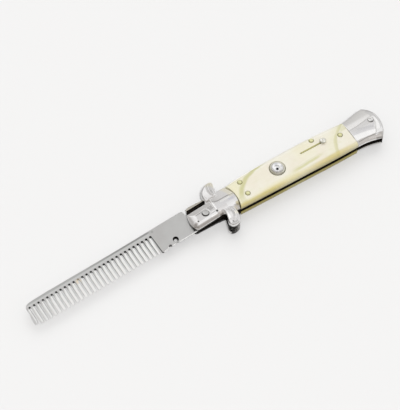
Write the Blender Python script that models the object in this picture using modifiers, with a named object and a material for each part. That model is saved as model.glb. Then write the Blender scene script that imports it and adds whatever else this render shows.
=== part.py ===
"""Folding pocket comb with a stiletto-shaped handle.

A steel comb blade turns on a pivot pin between two dark liners and folds into the
slot between them. Each side has a front bolster with two curled quillons, a marbled
scale and a flared rear bolster. The front bolster on the button side turns a little
about the pivot to release the lock spring. The push button sits in a ring in the top
scale, and the safety knob slides in a groove behind it.

Handle frame: x runs from the pivot to the butt, +y is the spine side, z is up.
The handle lies on its back bolsters. Dimensions are millimetres, scaled by MM.
"""

import math

import bmesh
import bpy
from mathutils import Matrix, Vector

MM = 0.001

# ---------------------------------------------------------------- driving sizes
PIVOT_X = -2.86          # pivot in the object's frame, so that the origin is mid base
PIVOT_Y = -0.18

THICK = 10.8             # over the flats of the bolsters
BOLSTER_IN = 7.20        # inner face of a top bolster
SCALE_IN, SCALE_OUT = 7.15, 10.70
LINER_TOP = (6.35, 6.95)
LINER_BACK = (3.85, 4.45)
BLADE = (4.70, 6.10)     # comb blade between the liners
SPRING = (4.68, 6.12)    # lock spring, in the same gap

COMB_ANGLE = math.radians(2.2)      # root line of the gaps against the handle
TOOTH_PITCH = 2.739
GAP_WIDTH = 1.30
GAPS = 29
FIRST_GAP_X = -32.55     # gap next to the ricasso, comb frame
ROOT_Y = 6.2
TIP_Y = -5.45
BLADE_HOLE = (-21.5, -2.85, 1.65)   # x, y, radius

BOLSTER_TILT = math.radians(4.0)    # the released side's bolster rests turned a little
BOLSTER_ARC = 19.85                 # rear arc, centred on the pivot
SCALE_ARC = 20.20                   # front arc of the scales
FRONT_ARC = 10.3
REAR_BOLSTER_X = 97.45
SCALE_END_X = 97.15
BUTT = (101.3, 1.0, 16.2)           # centre x, y, radius of the butt's arc

BUTTON = (49.1, 2.8)
RING_R, RING_BORE, RING_TOP = 4.60, 3.55, 11.45
BUTTON_R, BUTTON_TOP, BUTTON_FOOT = 3.25, 12.55, 8.35
KNOB = (80.9, 4.2)
KNOB_R, KNOB_TOP = 2.0, 12.3
GROOVE_FRONT_X, GROOVE_W = 65.3, 1.0
PIN_R = 1.35
PINS = (("front_upper", 26.4, 6.4), ("front_lower", 26.5, -1.9), ("middle", 75.7, 8.3), ("rear", 91.8, 2.8))
RIVET = (112.6, 2.1, 1.7)
PIVOT_HEAD_R, PIVOT_R = 1.85, 1.45

# station x, spine edge y, slot edge y of the handle between the bolsters
HANDLE = (
    (12.0, 8.6, -7.0),
    (18.0, 8.75, -7.05),
    (26.0, 9.75, -7.2),
    (36.0, 10.45, -7.35),
    (48.0, 10.7, -7.5),
    (62.0, 10.85, -7.65),
    (76.0, 10.8, -7.9),
    (86.0, 10.4, -7.95),
    (92.0, 9.9, -7.9),
    (98.0, 9.4, -7.85),
)

# station x, spine edge, spine crease, slot crease, slot edge of a rear bolster
REAR = (
    (96.0, 9.35, 3.4, -2.2, -7.85),
    (100.0, 9.55, 3.6, -2.3, -7.9),
    (104.0, 10.15, 4.0, -2.5, -8.2),
    (108.0, 10.95, 4.5, -2.8, -8.95),
    (112.0, 11.6, 5.0, -3.2, -10.1),
    (118.5, 12.5, 5.8, -3.8, -12.8),
)

# station x, spine edge, spine crease, slot crease, slot edge, height of a front bolster
FRONT_NOSE = (
    (-12.0, 5.7, 2.9, -3.1, -5.75, 10.35),
    (6.2, 5.7, 2.9, -3.1, -5.75, 10.35),
)
FRONT_REAR = (
    (3.3, 6.3, 2.6, -2.7, -5.75, 10.8),
    (8.0, 7.4, 2.4, -2.9, -6.2, 10.8),
    (13.0, 8.0, 2.1, -3.2, -7.2, 10.8),
    (21.0, 7.8, 1.6, -3.7, -8.6, 10.8),
)

# curled quillons in the front bolster's own frame, round the outside from the base
SPINE_QUILLON = (
    (4.2, 5.5), (4.1, 8.4), (4.7, 10.7), (5.7, 12.3), (7.6, 13.9), (10.1, 14.8),
    (12.8, 15.2), (14.1, 14.6), (14.3, 13.3), (13.6, 11.4), (12.9, 9.6), (12.7, 5.5),
)
SLOT_QUILLON = (
    (8.9, -3.5), (8.8, -7.0), (8.3, -9.4), (7.4, -11.6), (7.1, -13.3), (7.7, -14.9),
    (9.4, -15.7), (11.4, -15.6), (13.3, -14.7), (14.8, -12.4), (15.3, -10.0), (15.9, -4.0),
)

# comb frame: station x and height y of the comb's back edge
BACK_EDGE = (
    (-111.0, 5.6), (-110.9, 6.6), (-110.3, 7.6), (-108.8, 8.25), (-106.0, 8.6),
    (-100.0, 8.8), (-61.0, 9.0), (-31.6, 9.4), (-14.0, 9.8),
)


# ---------------------------------------------------------------- helpers
def clear():
    for obj in list(bpy.data.objects):
        bpy.data.objects.remove(obj, do_unlink=True)


def collection(name):
    made = bpy.data.collections.new(name)
    bpy.context.scene.collection.children.link(made)
    return made


def material(name, colour, roughness, metallic):
    made = bpy.data.materials.new(name)
    made.use_nodes = True
    shader = made.node_tree.nodes["Principled BSDF"]
    shader.inputs["Base Color"].default_value = (*colour, 1.0)
    shader.inputs["Roughness"].default_value = roughness
    shader.inputs["Metallic"].default_value = metallic
    made.diffuse_color = (*colour, 1.0)
    return made


def smooth_rows(rows, steps):
    """Catmull-Rom samples through a table whose first column is the station."""
    found = []
    last = len(rows) - 1
    for i in range(last):
        before, a, b, after = rows[max(i - 1, 0)], rows[i], rows[i + 1], rows[min(i + 2, last)]
        for k in range(steps):
            t = k / steps
            found.append(tuple(
                0.5 * (2 * q + (r - p) * t + (2 * p - 5 * q + 4 * r - s) * t * t + (3 * q - p - 3 * r + s) * t ** 3)
                for p, q, r, s in zip(before, a, b, after)
            ))
    found.append(tuple(float(v) for v in rows[last]))
    return found


def row_at(rows, x):
    """The table's row at station x, between its stations on a straight line."""
    for a, b in zip(rows, rows[1:]):
        if x <= b[0]:
            break
    t = (x - a[0]) / (b[0] - a[0])
    return tuple(p + (q - p) * t for p, q in zip(a, b))


def arc(centre, radius, start, end, count):
    """Points on an arc, from one angle to another in radians, ends included."""
    return [
        (centre[0] + radius * math.cos(a), centre[1] + radius * math.sin(a))
        for a in (start + (end - start) * i / (count - 1) for i in range(count))
    ]


def ring(x, y, radius, count=20):
    return arc((x, y), radius, 0.0, 2 * math.pi * (count - 1) / count, count)


def finish(obj, group, mat):
    obj.data.materials.clear()
    obj.data.materials.append(mat)
    group.objects.link(obj)
    obj.data.shade_smooth()
    obj.data.set_sharp_from_angle(angle=math.radians(28))
    return obj


def as_cutter(obj, group):
    group.objects.link(obj)
    obj.hide_render = True
    obj.display_type = "WIRE"
    return obj


def outward(mesh):
    """Welds the mesh and turns its faces out."""
    bm = bmesh.new()
    bm.from_mesh(mesh)
    bmesh.ops.remove_doubles(bm, verts=bm.verts, dist=0.000002)
    bmesh.ops.recalc_face_normals(bm, faces=bm.faces)
    bm.to_mesh(mesh)
    bm.free()


def plate(name, loops, z, flip=False):
    """A flat plate: closed outlines, the first one outside and any others holes, between two heights."""
    low, high = (THICK - z[1], THICK - z[0]) if flip else z
    curve = bpy.data.curves.new(name, "CURVE")
    curve.dimensions = "2D"
    curve.fill_mode = "BOTH"
    curve.extrude = (high - low) / 2 * MM
    for loop in loops:
        spline = curve.splines.new("POLY")
        spline.points.add(len(loop) - 1)
        for point, (x, y) in zip(spline.points, loop):
            point.co = (x * MM, y * MM, 0.0, 1.0)
        spline.use_cyclic_u = True
    drawn = bpy.data.objects.new(name + "_outline", curve)
    bpy.context.scene.collection.objects.link(drawn)
    bpy.context.view_layer.update()
    graph = bpy.context.evaluated_depsgraph_get()
    mesh = bpy.data.meshes.new_from_object(drawn.evaluated_get(graph))
    bpy.data.objects.remove(drawn)
    mesh.transform(Matrix.Translation((0.0, 0.0, (low + high) / 2 * MM)))
    mesh.name = name
    outward(mesh)
    return bpy.data.objects.new(name, mesh)


def loft(name, sections):
    """A solid through closed sections with the same number of corners each."""
    bm = bmesh.new()
    rings = [[bm.verts.new((x * MM, y * MM, z * MM)) for x, y, z in section] for section in sections]
    for a, b in zip(rings, rings[1:]):
        for i in range(len(a)):
            j = (i + 1) % len(a)
            bm.faces.new((a[i], a[j], b[j], b[i]))
    bm.faces.new(rings[0])
    bm.faces.new(rings[-1])
    bmesh.ops.recalc_face_normals(bm, faces=bm.faces)
    mesh = bpy.data.meshes.new(name)
    bm.to_mesh(mesh)
    bm.free()
    return bpy.data.objects.new(name, mesh)


def turned(name, profile, steps=24, closed=False):
    """A turned piece: (radius, height) from the top of its outside down to its foot, round z."""
    mesh = bpy.data.meshes.new(name)
    edges = [(i, i + 1) for i in range(len(profile) - 1)]
    if closed:
        edges.append((len(profile) - 1, 0))
    mesh.from_pydata([(r * MM, 0.0, z * MM) for r, z in profile], edges, [])
    obj = bpy.data.objects.new(name, mesh)
    screw = obj.modifiers.new("turn", "SCREW")
    screw.axis = "Z"
    screw.steps = screw.render_steps = steps
    screw.use_merge_vertices = True
    screw.merge_threshold = 0.000005
    return obj


def combine(obj, other, operation):
    boolean = obj.modifiers.new(operation.lower(), "BOOLEAN")
    boolean.operation = operation
    boolean.solver = "EXACT"
    boolean.object = other


def soften(mesh, height, width, segments, tolerance=0.02):
    """Rounds the outline's edges at one height of a plate, as a tumbled or moulded edge is."""
    bm = bmesh.new()
    bm.from_mesh(mesh)
    bmesh.ops.dissolve_limit(bm, angle_limit=0.001, verts=bm.verts, edges=bm.edges, delimit=set())
    flat = [
        e for e in bm.edges
        if all(abs(v.co.z - height * MM) < tolerance * MM for v in e.verts)
        and any(abs(f.normal.z) < 0.5 for f in e.link_faces)
    ]
    bmesh.ops.bevel(
        bm, geom=flat, offset=width * MM, offset_type="OFFSET", segments=segments, profile=0.5,
        affect="EDGES", clamp_overlap=True,
    )
    bmesh.ops.recalc_face_normals(bm, faces=bm.faces)
    bm.to_mesh(mesh)
    bm.free()


def through(x, y, radius, name, group, steps=20):
    """A round cutter right through the handle."""
    bm = bmesh.new()
    bmesh.ops.create_cone(
        bm, cap_ends=True, segments=steps, radius1=radius * MM, radius2=radius * MM, depth=30 * MM,
        matrix=Matrix.Translation((x * MM, y * MM, 5.0 * MM)),
    )
    mesh = bpy.data.meshes.new(name)
    bm.to_mesh(mesh)
    bm.free()
    return as_cutter(bpy.data.objects.new(name, mesh), group)


# ---------------------------------------------------------------- outlines
def comb_outline():
    """The comb in its own frame: back edge, end tooth, teeth and gaps, ricasso and tang."""
    points = list(BACK_EDGE)
    # the lock spring lies on the tang behind this shoulder
    points += [(-9.6, 9.9), (-9.2, 9.2), (-9.1, 7.0)]
    # round back of the tang, about the pivot
    points += arc((0.0, 0.0), 6.9, math.radians(96), math.radians(-38), 16)
    points += [(3.4, -5.2), (-9.0, -4.95), (-25.2, -5.0), (-25.8, -4.5), (-27.1, -4.45), (-27.9, -5.25), (-31.2, -5.7)]
    half = GAP_WIDTH / 2
    for i in range(GAPS):
        x = FIRST_GAP_X - TOOTH_PITCH * i
        root = ROOT_Y if i < GAPS - 2 else ROOT_Y - 0.15 * (i - GAPS + 3)
        right, left = x + half, x - half
        # bottom of the right side, round root, bottom of the left side
        if i == 0:
            points.append((right, TIP_Y - 0.2))
        points += [(right, root - half * 0.7), (right - half * 0.45, root), (left + half * 0.45, root), (left, root - half * 0.7)]
        if i < GAPS - 1:
            next_right = x - TOOTH_PITCH + half
            middle = (left + next_right) / 2
            points += [(left, TIP_Y + 0.7), (middle + 0.38, TIP_Y + 0.08), (middle - 0.38, TIP_Y + 0.08), (next_right, TIP_Y + 0.7)]
    # the end tooth is broader and leans out to the tip
    left = FIRST_GAP_X - TOOTH_PITCH * (GAPS - 1) - half
    points += [(left - 0.55, -3.6), (left - 1.0, -4.2), (left - 1.68, -4.15), (left - 2.08, -3.4), (left - 1.28, 3.4)]
    return points


def handle_outline(front, rear_x, inset=0.0):
    """Plan of a scale or liner: front arc about the pivot, slot edge, rear edge, spine edge."""
    rows = [r for r in smooth_rows(HANDLE, 3)]
    low = [(x, slot + inset) for x, _, slot in rows]
    high = [(x, spine - inset) for x, spine, _ in rows]

    def meet(edge):
        for x, y in edge:
            if math.hypot(x, y) > front:
                return math.atan2(y, math.sqrt(front * front - y * y))

    start, end = meet(high), meet(low)
    points = arc((0.0, 0.0), front, start, end, 13)
    points += [(x, y) for x, y in low if math.hypot(x, y) > front + 0.4 and x < rear_x - 0.4]
    points += [(rear_x, row_at(HANDLE, rear_x)[2] + inset), (rear_x, row_at(HANDLE, rear_x)[1] - inset)]
    points += [(x, y) for x, y in reversed(high) if math.hypot(x, y) > front + 0.4 and x < rear_x - 0.4]
    return points


def butt_outline(x0, inset=0.0):
    """Plan of a rear bolster: flared sides and the arc of the butt."""
    rows = smooth_rows(REAR, 3)
    cx, cy, r = BUTT
    r -= inset
    inside = lambda x, y: math.hypot(x - cx, y - cy) < r - 0.35
    low = [(x, row[-1] + inset) for x, *row in rows if x > x0 + 0.3]
    high = [(x, row[0] - inset) for x, *row in rows if x > x0 + 0.3]
    low = [p for p in low if inside(*p)]
    high = [p for p in high if inside(*p)]
    slot_y, spine_y = low[-1][1] - 1.0, high[-1][1] + 0.35
    points = [(x0, row_at(REAR, x0)[1] - inset), (x0, row_at(REAR, x0)[4] + inset)] + low
    a = math.asin((slot_y - cy) / r)
    b = math.asin((spine_y - cy) / r)
    return points + arc((cx, cy), r, a, b, 15) + list(reversed(high))


def liner_outline():
    """The liners run from the front arc to the butt."""
    inset = 0.12
    nose = [(-7.6, 7.9), (-9.0, 5.0), (-9.9, 1.6), (-10.0, -2.2), (-9.3, -5.0), (-8.4, -5.6)]
    low = [(0.0, -5.5), (9.5, -5.7), (15.0, -6.8)]
    low += [(x, slot + inset) for x, _, slot in smooth_rows(HANDLE, 2) if 17.0 < x < 95.0]
    butt = butt_outline(96.5, inset)[2:]
    high = [(x, spine - inset) for x, spine, _ in reversed(smooth_rows(HANDLE, 2)) if 20.0 < x < 95.0]
    high += [(13.0, 8.5), (4.6, 8.6)]
    return nose + low + butt + high


def spring_outline():
    """The lock spring: a bar along the spine, with a rounded end over the tang."""
    top = [(-7.2, 9.35), (-5.6, 9.85), (-2.0, 9.95), (4.6, 9.6), (12.0, 8.95)]
    top += [(x, spine - 0.15) for x, spine, _ in smooth_rows(HANDLE, 2) if 17.0 < x < 95.0]
    top += [(x, row[0] - 0.35) for x, *row in smooth_rows(REAR, 1)[1:5]]
    low = [(111.6, 7.6), (100.0, 6.9), (90.0, 7.0), (70.0, 7.4), (40.0, 7.3), (20.0, 6.9), (8.0, 7.25), (-6.4, 7.4), (-7.5, 7.9)]
    return top + low


def bolster_outline(rear_arc, corner_y):
    """Plan of a front bolster's body in its own frame, front arc to rear arc."""
    nose = [(-8.7, 5.7), (-9.3, 4.4), (-9.85, 2.6), (-10.2, 0.4), (-10.3, -1.8), (-10.0, -3.6), (-9.4, -4.95), (-8.4, -5.75)]
    low = [(7.6, -5.75), (9.6, -6.2), (15.0, corner_y + 0.6)]
    start = math.asin(corner_y / rear_arc)
    end = math.asin(7.75 / rear_arc)
    return nose + low + arc((0.0, 0.0), rear_arc, start, end, 13) + [(12.6, 7.9), (8.0, 7.4), (3.9, 6.4), (3.8, 5.7)]


# ---------------------------------------------------------------- pieces
def facet_sections(rows, base, flip):
    """Sections across a bolster: inner face, walls, two sloping facets and the flat between the creases."""
    sections = []
    for x, spine, spine_crease, slot_crease, slot, top in rows:
        wall = base + 0.42 * (THICK - base)
        outline = [(slot - 3.0, base), (spine + 3.0, base), (spine + 3.0, wall - 0.9), (spine_crease, top), (slot_crease, top), (slot - 3.0, wall - 0.9)]
        # the facets reach the true edges at the height of the wall
        slope_a = (top - wall) / (spine - spine_crease)
        slope_b = (top - wall) / (slot_crease - slot)
        outline[2] = (spine + 3.0, max(wall - 3.0 * slope_a, base + 0.2))
        outline[5] = (slot - 3.0, max(wall - 3.0 * slope_b, base + 0.2))
        sections.append([(x, y, THICK - z if flip else z) for y, z in outline])
    return sections


def quillon(name, outline, z, flip, group):
    obj = plate(name, [outline], z, flip)
    height = THICK - z[1] if flip else z[1]
    soften(obj.data, height, 1.25, 3)
    return as_cutter(obj, group)


def front_bolster(name, flip, corner_y, parts, cutters, mat):
    plan = bolster_outline(BOLSTER_ARC, corner_y)
    body = plate(name, [plan], (BOLSTER_IN, THICK + 0.5), flip)
    nose = as_cutter(loft(name + "_nose_facets", facet_sections(FRONT_NOSE, BOLSTER_IN - 0.5, flip)), cutters)
    rear = as_cutter(loft(name + "_rear_facets", facet_sections(FRONT_REAR, BOLSTER_IN - 0.5, flip)), cutters)
    combine(nose, rear, "UNION")
    combine(body, nose, "INTERSECT")
    top = quillon(name + "_spine_quillon", SPINE_QUILLON, (BOLSTER_IN, 10.3), flip, cutters)
    low = quillon(name + "_slot_quillon", SLOT_QUILLON, (BOLSTER_IN, 10.3), flip, cutters)
    combine(body, top, "UNION")
    combine(body, low, "UNION")
    combine(body, through(0.0, 0.0, PIVOT_HEAD_R + 0.3, name + "_pivot_bore", cutters), "DIFFERENCE")
    return finish(body, parts, mat)


def rear_bolster(name, flip, parts, cutters, mat):
    body = plate(name, [butt_outline(REAR_BOLSTER_X)], (BOLSTER_IN, THICK + 0.5), flip)
    rows = [(*row, THICK) for row in smooth_rows(REAR, 2)]
    facets = as_cutter(loft(name + "_facets", facet_sections(rows, BOLSTER_IN - 0.5, flip)), cutters)
    combine(body, facets, "INTERSECT")
    combine(body, through(RIVET[0], RIVET[1], RIVET[2] + 0.3, name + "_rivet_bore", cutters, 16), "DIFFERENCE")
    return finish(body, parts, mat)


def scale(name, flip, parts, cutters, mat):
    z = (SCALE_IN, SCALE_OUT)
    body = plate(name, [handle_outline(SCALE_ARC, SCALE_END_X)], z, flip)
    edge = THICK - SCALE_OUT if flip else SCALE_OUT
    soften(body.data, edge, 1.7, 3)
    if not flip:
        combine(body, through(*BUTTON, RING_R + 0.3, name + "_button_bore", cutters, 32), "DIFFERENCE")
        half = GROOVE_W / 2
        groove = [
            *arc((GROOVE_FRONT_X + half, KNOB[1]), half, math.pi / 2, 3 * math.pi / 2, 7),
            *arc((KNOB[0] + half + 0.3, KNOB[1]), half, -math.pi / 2, math.pi / 2, 7),
        ]
        cut = as_cutter(plate(name + "_groove", [groove], (5.0, 13.0)), cutters)
        combine(body, cut, "DIFFERENCE")
    for label, x, y in PINS:
        combine(body, through(x, y, PIN_R + 0.3, f"{name}_{label}_bore", cutters, 16), "DIFFERENCE")
    return finish(body, parts, mat)


def domed(radius, foot, edge, top, steps=4):
    """Profile of a pin with a domed head."""
    rise = top - edge
    head = [(radius * math.sin(a), edge + rise * math.cos(a)) for a in (math.pi / 2 * i / steps for i in range(steps + 1))]
    head[0] = (0.0, top)
    return head + [(radius, foot), (0.0, foot)]


def flipped(profile):
    """The same profile seen from the back face, still running from top to bottom."""
    return [(r, THICK - z) for r, z in reversed(profile)]


def place(obj, x, y, parts, mat):
    obj.location = ((PIVOT_X + x) * MM, (PIVOT_Y + y) * MM, 0.0)
    return finish(obj, parts, mat)


def build():
    clear()
    parts = collection("folding_comb")
    cutters = collection("folding_comb_cutters")
    steel = material("comb_steel", (0.56, 0.55, 0.54), 0.34, 1.0)
    nickel = material("polished_nickel", (0.80, 0.79, 0.78), 0.14, 1.0)
    back_nickel = material("polished_nickel_back", (0.78, 0.77, 0.76), 0.16, 1.0)
    black = material("liner_black", (0.02, 0.018, 0.016), 0.42, 0.6)
    spring_steel = material("spring_steel", (0.52, 0.50, 0.46), 0.32, 1.0)
    ivory = material("marbled_ivory", (0.87, 0.84, 0.66), 0.22, 0.0)
    ivory_back = material("marbled_ivory_back", (0.85, 0.81, 0.60), 0.24, 0.0)
    brass = material("pin_brass", (0.74, 0.66, 0.26), 0.25, 1.0)
    chrome = material("button_chrome", (0.82, 0.82, 0.82), 0.10, 1.0)
    rivet = material("rivet_nickel", (0.70, 0.69, 0.68), 0.20, 1.0)

    made = []

    # comb blade, turning on the pivot
    comb = plate("comb_blade", [comb_outline(), ring(*BLADE_HOLE), ring(0.0, 0.0, PIVOT_R + 0.3)], BLADE)
    comb.rotation_euler = (0.0, 0.0, COMB_ANGLE)
    made.append(finish(comb, parts, steel))

    # front bolsters: the button side's one turns on the pivot and rests tilted
    top = front_bolster("front_bolster_top", False, -8.3, parts, cutters, nickel)
    top.rotation_euler = (0.0, 0.0, BOLSTER_TILT)
    made.append(top)
    made.append(front_bolster("front_bolster_back", True, -7.2, parts, cutters, back_nickel))

    # liners and lock spring
    outline = liner_outline()
    pivot_hole = ring(0.0, 0.0, PIVOT_R + 0.3)
    made.append(finish(plate("liner_top", [outline, pivot_hole, ring(*BUTTON, 2.5)], LINER_TOP), parts, black))
    made.append(finish(plate("liner_back", [outline, pivot_hole], LINER_BACK), parts, black))
    made.append(finish(plate("lock_spring", [spring_outline()], SPRING), parts, spring_steel))

    # scales and rear bolsters
    made.append(scale("scale_top", False, parts, cutters, ivory))
    made.append(scale("scale_back", True, parts, cutters, ivory_back))
    made.append(rear_bolster("rear_bolster_top", False, parts, cutters, nickel))
    made.append(rear_bolster("rear_bolster_back", True, parts, cutters, back_nickel))

    # boolean operands share their object's place
    for obj in list(made) + list(cutters.objects):
        obj.location = (PIVOT_X * MM, PIVOT_Y * MM, 0.0)
    for cutter in cutters.objects:
        if cutter.name.startswith("front_bolster_top"):
            cutter.rotation_euler = (0.0, 0.0, BOLSTER_TILT)

    # pivot pin, with a head in each front bolster
    head, neck = PIVOT_HEAD_R, PIVOT_R
    pin = turned("pivot_pin", [
        (0.0, 10.85), (head * 0.55, 10.78), (head * 0.9, 10.6), (head, 10.4), (head, 7.25), (neck, 7.15),
        (neck, 3.65), (head, 3.55), (head, 0.35), (head - 0.25, 0.12), (0.0, 0.08),
    ])
    place(pin, 0.0, 0.0, parts, rivet)

    # button, its ring and the safety knob
    lip = RING_R - 0.35
    ring_piece = turned("button_ring", [
        (RING_BORE, RING_TOP - 0.35), (RING_BORE + 0.3, RING_TOP), (lip, RING_TOP - 0.15), (RING_R, RING_TOP - 0.6),
        (RING_R, SCALE_IN + 0.25), (RING_BORE, SCALE_IN + 0.25),
    ], 32, closed=True)
    place(ring_piece, *BUTTON, parts, chrome)
    rim = 11.25
    dome = [(BUTTON_R * math.sin(a), rim + (BUTTON_TOP - rim) * math.cos(a)) for a in (math.pi / 2 * i / 5 for i in range(6))]
    dome[0] = (0.0, BUTTON_TOP)
    button = turned("push_button", dome + [(BUTTON_R, 9.7), (2.1, 9.5), (2.1, BUTTON_FOOT), (0.0, BUTTON_FOOT)], 32)
    place(button, *BUTTON, parts, chrome)
    knob = turned("safety_knob", [
        (0.0, KNOB_TOP), (0.9, KNOB_TOP - 0.12), (1.6, KNOB_TOP - 0.5), (KNOB_R, KNOB_TOP - 1.05), (1.75, 11.0), (0.35, 10.98),
        (0.35, 7.4), (0.0, 7.4),
    ], 20)
    place(knob, *KNOB, parts, chrome)

    # brass pins and rear rivets on both faces
    for label, x, y in PINS:
        place(turned(f"scale_pin_{label}", domed(PIN_R, SCALE_IN + 0.1, 10.72, 11.1), 16), x, y, parts, brass)
        place(turned(f"scale_pin_back_{label}", flipped([(0.0, 10.62), (PIN_R, 10.6), (PIN_R, SCALE_IN + 0.1), (0.0, SCALE_IN + 0.1)]), 16), x, y, parts, brass)
    x, y, r = RIVET
    place(turned("rear_rivet_top", domed(r, BOLSTER_IN + 0.1, 10.75, 10.95), 20), x, y, parts, rivet)
    place(turned("rear_rivet_back", flipped([(0.0, 10.7), (r, 10.68), (r, BOLSTER_IN + 0.1), (0.0, BOLSTER_IN + 0.1)]), 20), x, y, parts, rivet)


build()
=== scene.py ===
"""Looks of the folding comb: fine meshes, procedural materials, a pale floor, soft light and the camera.

Handle frame, in millimetres: x from the pivot to the butt, +y the spine side, z up from the floor.
A plan piece is a region of that frame with a height for each point of its top and its underside.
"""

import math

import bmesh
import bpy
import numpy as np
from mathutils import Matrix, Vector
from mathutils.geometry import delaunay_2d_cdt
from mathutils.kdtree import KDTree


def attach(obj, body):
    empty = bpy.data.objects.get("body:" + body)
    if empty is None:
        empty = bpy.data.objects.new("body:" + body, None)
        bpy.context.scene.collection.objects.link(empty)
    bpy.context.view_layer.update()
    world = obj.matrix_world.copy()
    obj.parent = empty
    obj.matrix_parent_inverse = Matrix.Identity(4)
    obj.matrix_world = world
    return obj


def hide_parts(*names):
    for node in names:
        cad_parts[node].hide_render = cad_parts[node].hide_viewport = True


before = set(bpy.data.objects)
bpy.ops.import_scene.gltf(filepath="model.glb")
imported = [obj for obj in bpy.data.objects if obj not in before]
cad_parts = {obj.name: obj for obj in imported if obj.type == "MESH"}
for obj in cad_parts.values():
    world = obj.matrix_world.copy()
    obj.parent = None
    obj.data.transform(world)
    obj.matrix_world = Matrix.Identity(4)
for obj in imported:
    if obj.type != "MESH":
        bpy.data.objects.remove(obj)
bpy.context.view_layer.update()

MM = 0.001
PIVOT = np.array([-2.86, -0.18])
THICK = 10.8
COMB_ANGLE = 2.2
BOLSTER_TILT = 4.0
TOOTH_PITCH, GAPS, FIRST_GAP_X, ROOT_Y, TIP_Y = 2.739, 29, -32.43, 5.92, -5.45
BUTTON = (49.18, 2.93)
KNOB = (80.9, 4.2)
SLOT_WIDTH, GAP_SHIFT, PIT_Y, PIT_R = 1.10, 0.08, 6.02, 0.68
PIT_SHRINK = 0.004
SPINE_RIDGE = ((10.6, 14.2), (9.9, 12.4), (9.3, 10.4), (9.3, 8.2), (9.9, 6.6))
SLOT_RIDGE = ((11.3, -4.6), (12.7, -6.6), (12.9, -8.8), (12.1, -11.0), (10.0, -13.4))

# ---------------------------------------------------------------- curves and regions


def smooth(points, step):
    """Centripetal Catmull-Rom curve through points, ends included."""
    p = np.array(points, float)
    if len(p) == 2:
        count = max(1, math.ceil(np.linalg.norm(p[1] - p[0]) / step))
        return p[0] + (p[1] - p[0]) * np.linspace(0, 1, count + 1)[:, None]
    p = np.vstack([2 * p[0] - p[1], p, 2 * p[-1] - p[-2]])
    found = []
    for i in range(1, len(p) - 2):
        a, b, c, d = p[i - 1], p[i], p[i + 1], p[i + 2]
        t0 = 0.0
        t1 = t0 + np.linalg.norm(b - a) ** 0.5
        t2 = t1 + np.linalg.norm(c - b) ** 0.5
        t3 = t2 + np.linalg.norm(d - c) ** 0.5
        count = max(1, math.ceil(np.linalg.norm(c - b) / step))
        t = np.linspace(t1, t2, count + 1)[:-1, None]
        a1 = (t1 - t) / (t1 - t0) * a + (t - t0) / (t1 - t0) * b
        a2 = (t2 - t) / (t2 - t1) * b + (t - t1) / (t2 - t1) * c
        a3 = (t3 - t) / (t3 - t2) * c + (t - t2) / (t3 - t2) * d
        b1 = (t2 - t) / (t2 - t0) * a1 + (t - t0) / (t2 - t0) * a2
        b2 = (t3 - t) / (t3 - t1) * a2 + (t - t1) / (t3 - t1) * a3
        found.append((t2 - t) / (t2 - t1) * b1 + (t - t1) / (t2 - t1) * b2)
    found.append(p[-2:-1])
    return np.vstack(found)


def joined(step, *runs):
    """A closed outline from smooth runs with corners between them, split finely, counter-clockwise."""
    points = np.vstack([smooth(run, step) for run in runs])
    found = []
    for a, b in zip(points, np.roll(points, -1, 0)):
        length = np.linalg.norm(b - a)
        if length < 1e-6:
            continue
        count = max(1, math.ceil(length / step))
        found += [a + (b - a) * k / count for k in range(count)]
    return facing(np.array(found))


def facing(loop, left=True):
    """The loop turned to run counter-clockwise, or clockwise for a hole."""
    x, y = loop[:, 0], loop[:, 1]
    area = (x * np.roll(y, -1) - np.roll(x, -1) * y).sum()
    return loop if (area > 0) == left else loop[::-1]


def arc(centre, radius, start, end, step):
    """Points on an arc between two angles in degrees."""
    count = max(2, math.ceil(abs(math.radians(end - start)) * radius / step) + 1)
    a = np.radians(np.linspace(start, end, count))
    return np.array(centre) + radius * np.stack([np.cos(a), np.sin(a)], 1)


def circle(x, y, radius, step):
    return arc((x, y), radius, 0.0, 360.0, step)[:-1]


def in_loop(points, loop):
    """Even-odd test, in strips of points with only the edges that reach them."""
    found = np.zeros(len(points), bool)
    a, b = loop, np.roll(loop, -1, 0)
    least, most = np.minimum(a[:, 1], b[:, 1]), np.maximum(a[:, 1], b[:, 1])
    order = np.argsort(points[:, 1], kind="stable")
    for k in range(0, len(points), 300):
        index = order[k:k + 300]
        x, y = points[index, 0, None], points[index, 1, None]
        near = (most >= y.min()) & (least <= y.max())
        if not near.any():
            continue
        ax, ay, bx, by = a[near, 0], a[near, 1], b[near, 0], b[near, 1]
        rise = np.where(np.abs(by - ay) < 1e-12, 1e-12, by - ay)
        crossed = ((ay > y) != (by > y)) & (x < (bx - ax) * (y - ay) / rise + ax)
        found[index] = crossed.sum(1) % 2 == 1
    return found


def from_edges(points, a, b):
    """Each point's distance from the nearest of the segments a-b, tried on those with the nearest middles."""
    count = min(6, len(a))
    tree = KDTree(len(a))
    for i, p in enumerate((a + b) / 2):
        tree.insert((p[0], p[1], 0.0), i)
    tree.balance()
    near = np.array([[hit[1] for hit in tree.find_n((x, y, 0.0), count)] for x, y in points.tolist()], int)
    near = near.reshape(len(points), count)
    s, run = a[near], (b - a)[near]
    off = points[:, None] - s
    t = np.clip((off * run).sum(2) / ((run ** 2).sum(2) + 1e-18), 0, 1)
    return np.sqrt(((off - run * t[..., None]) ** 2).sum(2).min(1))


def triangulated(points, edges):
    """Vertices, triangles and, for each vertex, the input point that it was."""
    made = delaunay_2d_cdt([Vector(p) for p in points], [tuple(map(int, e)) for e in edges], [], 0, 1e-7, True)
    vertices = np.array([v[:] for v in made[0]])
    origin = np.array([ids[0] if ids else -1 for ids in made[3]])
    return vertices, np.array(made[2]), origin


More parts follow.
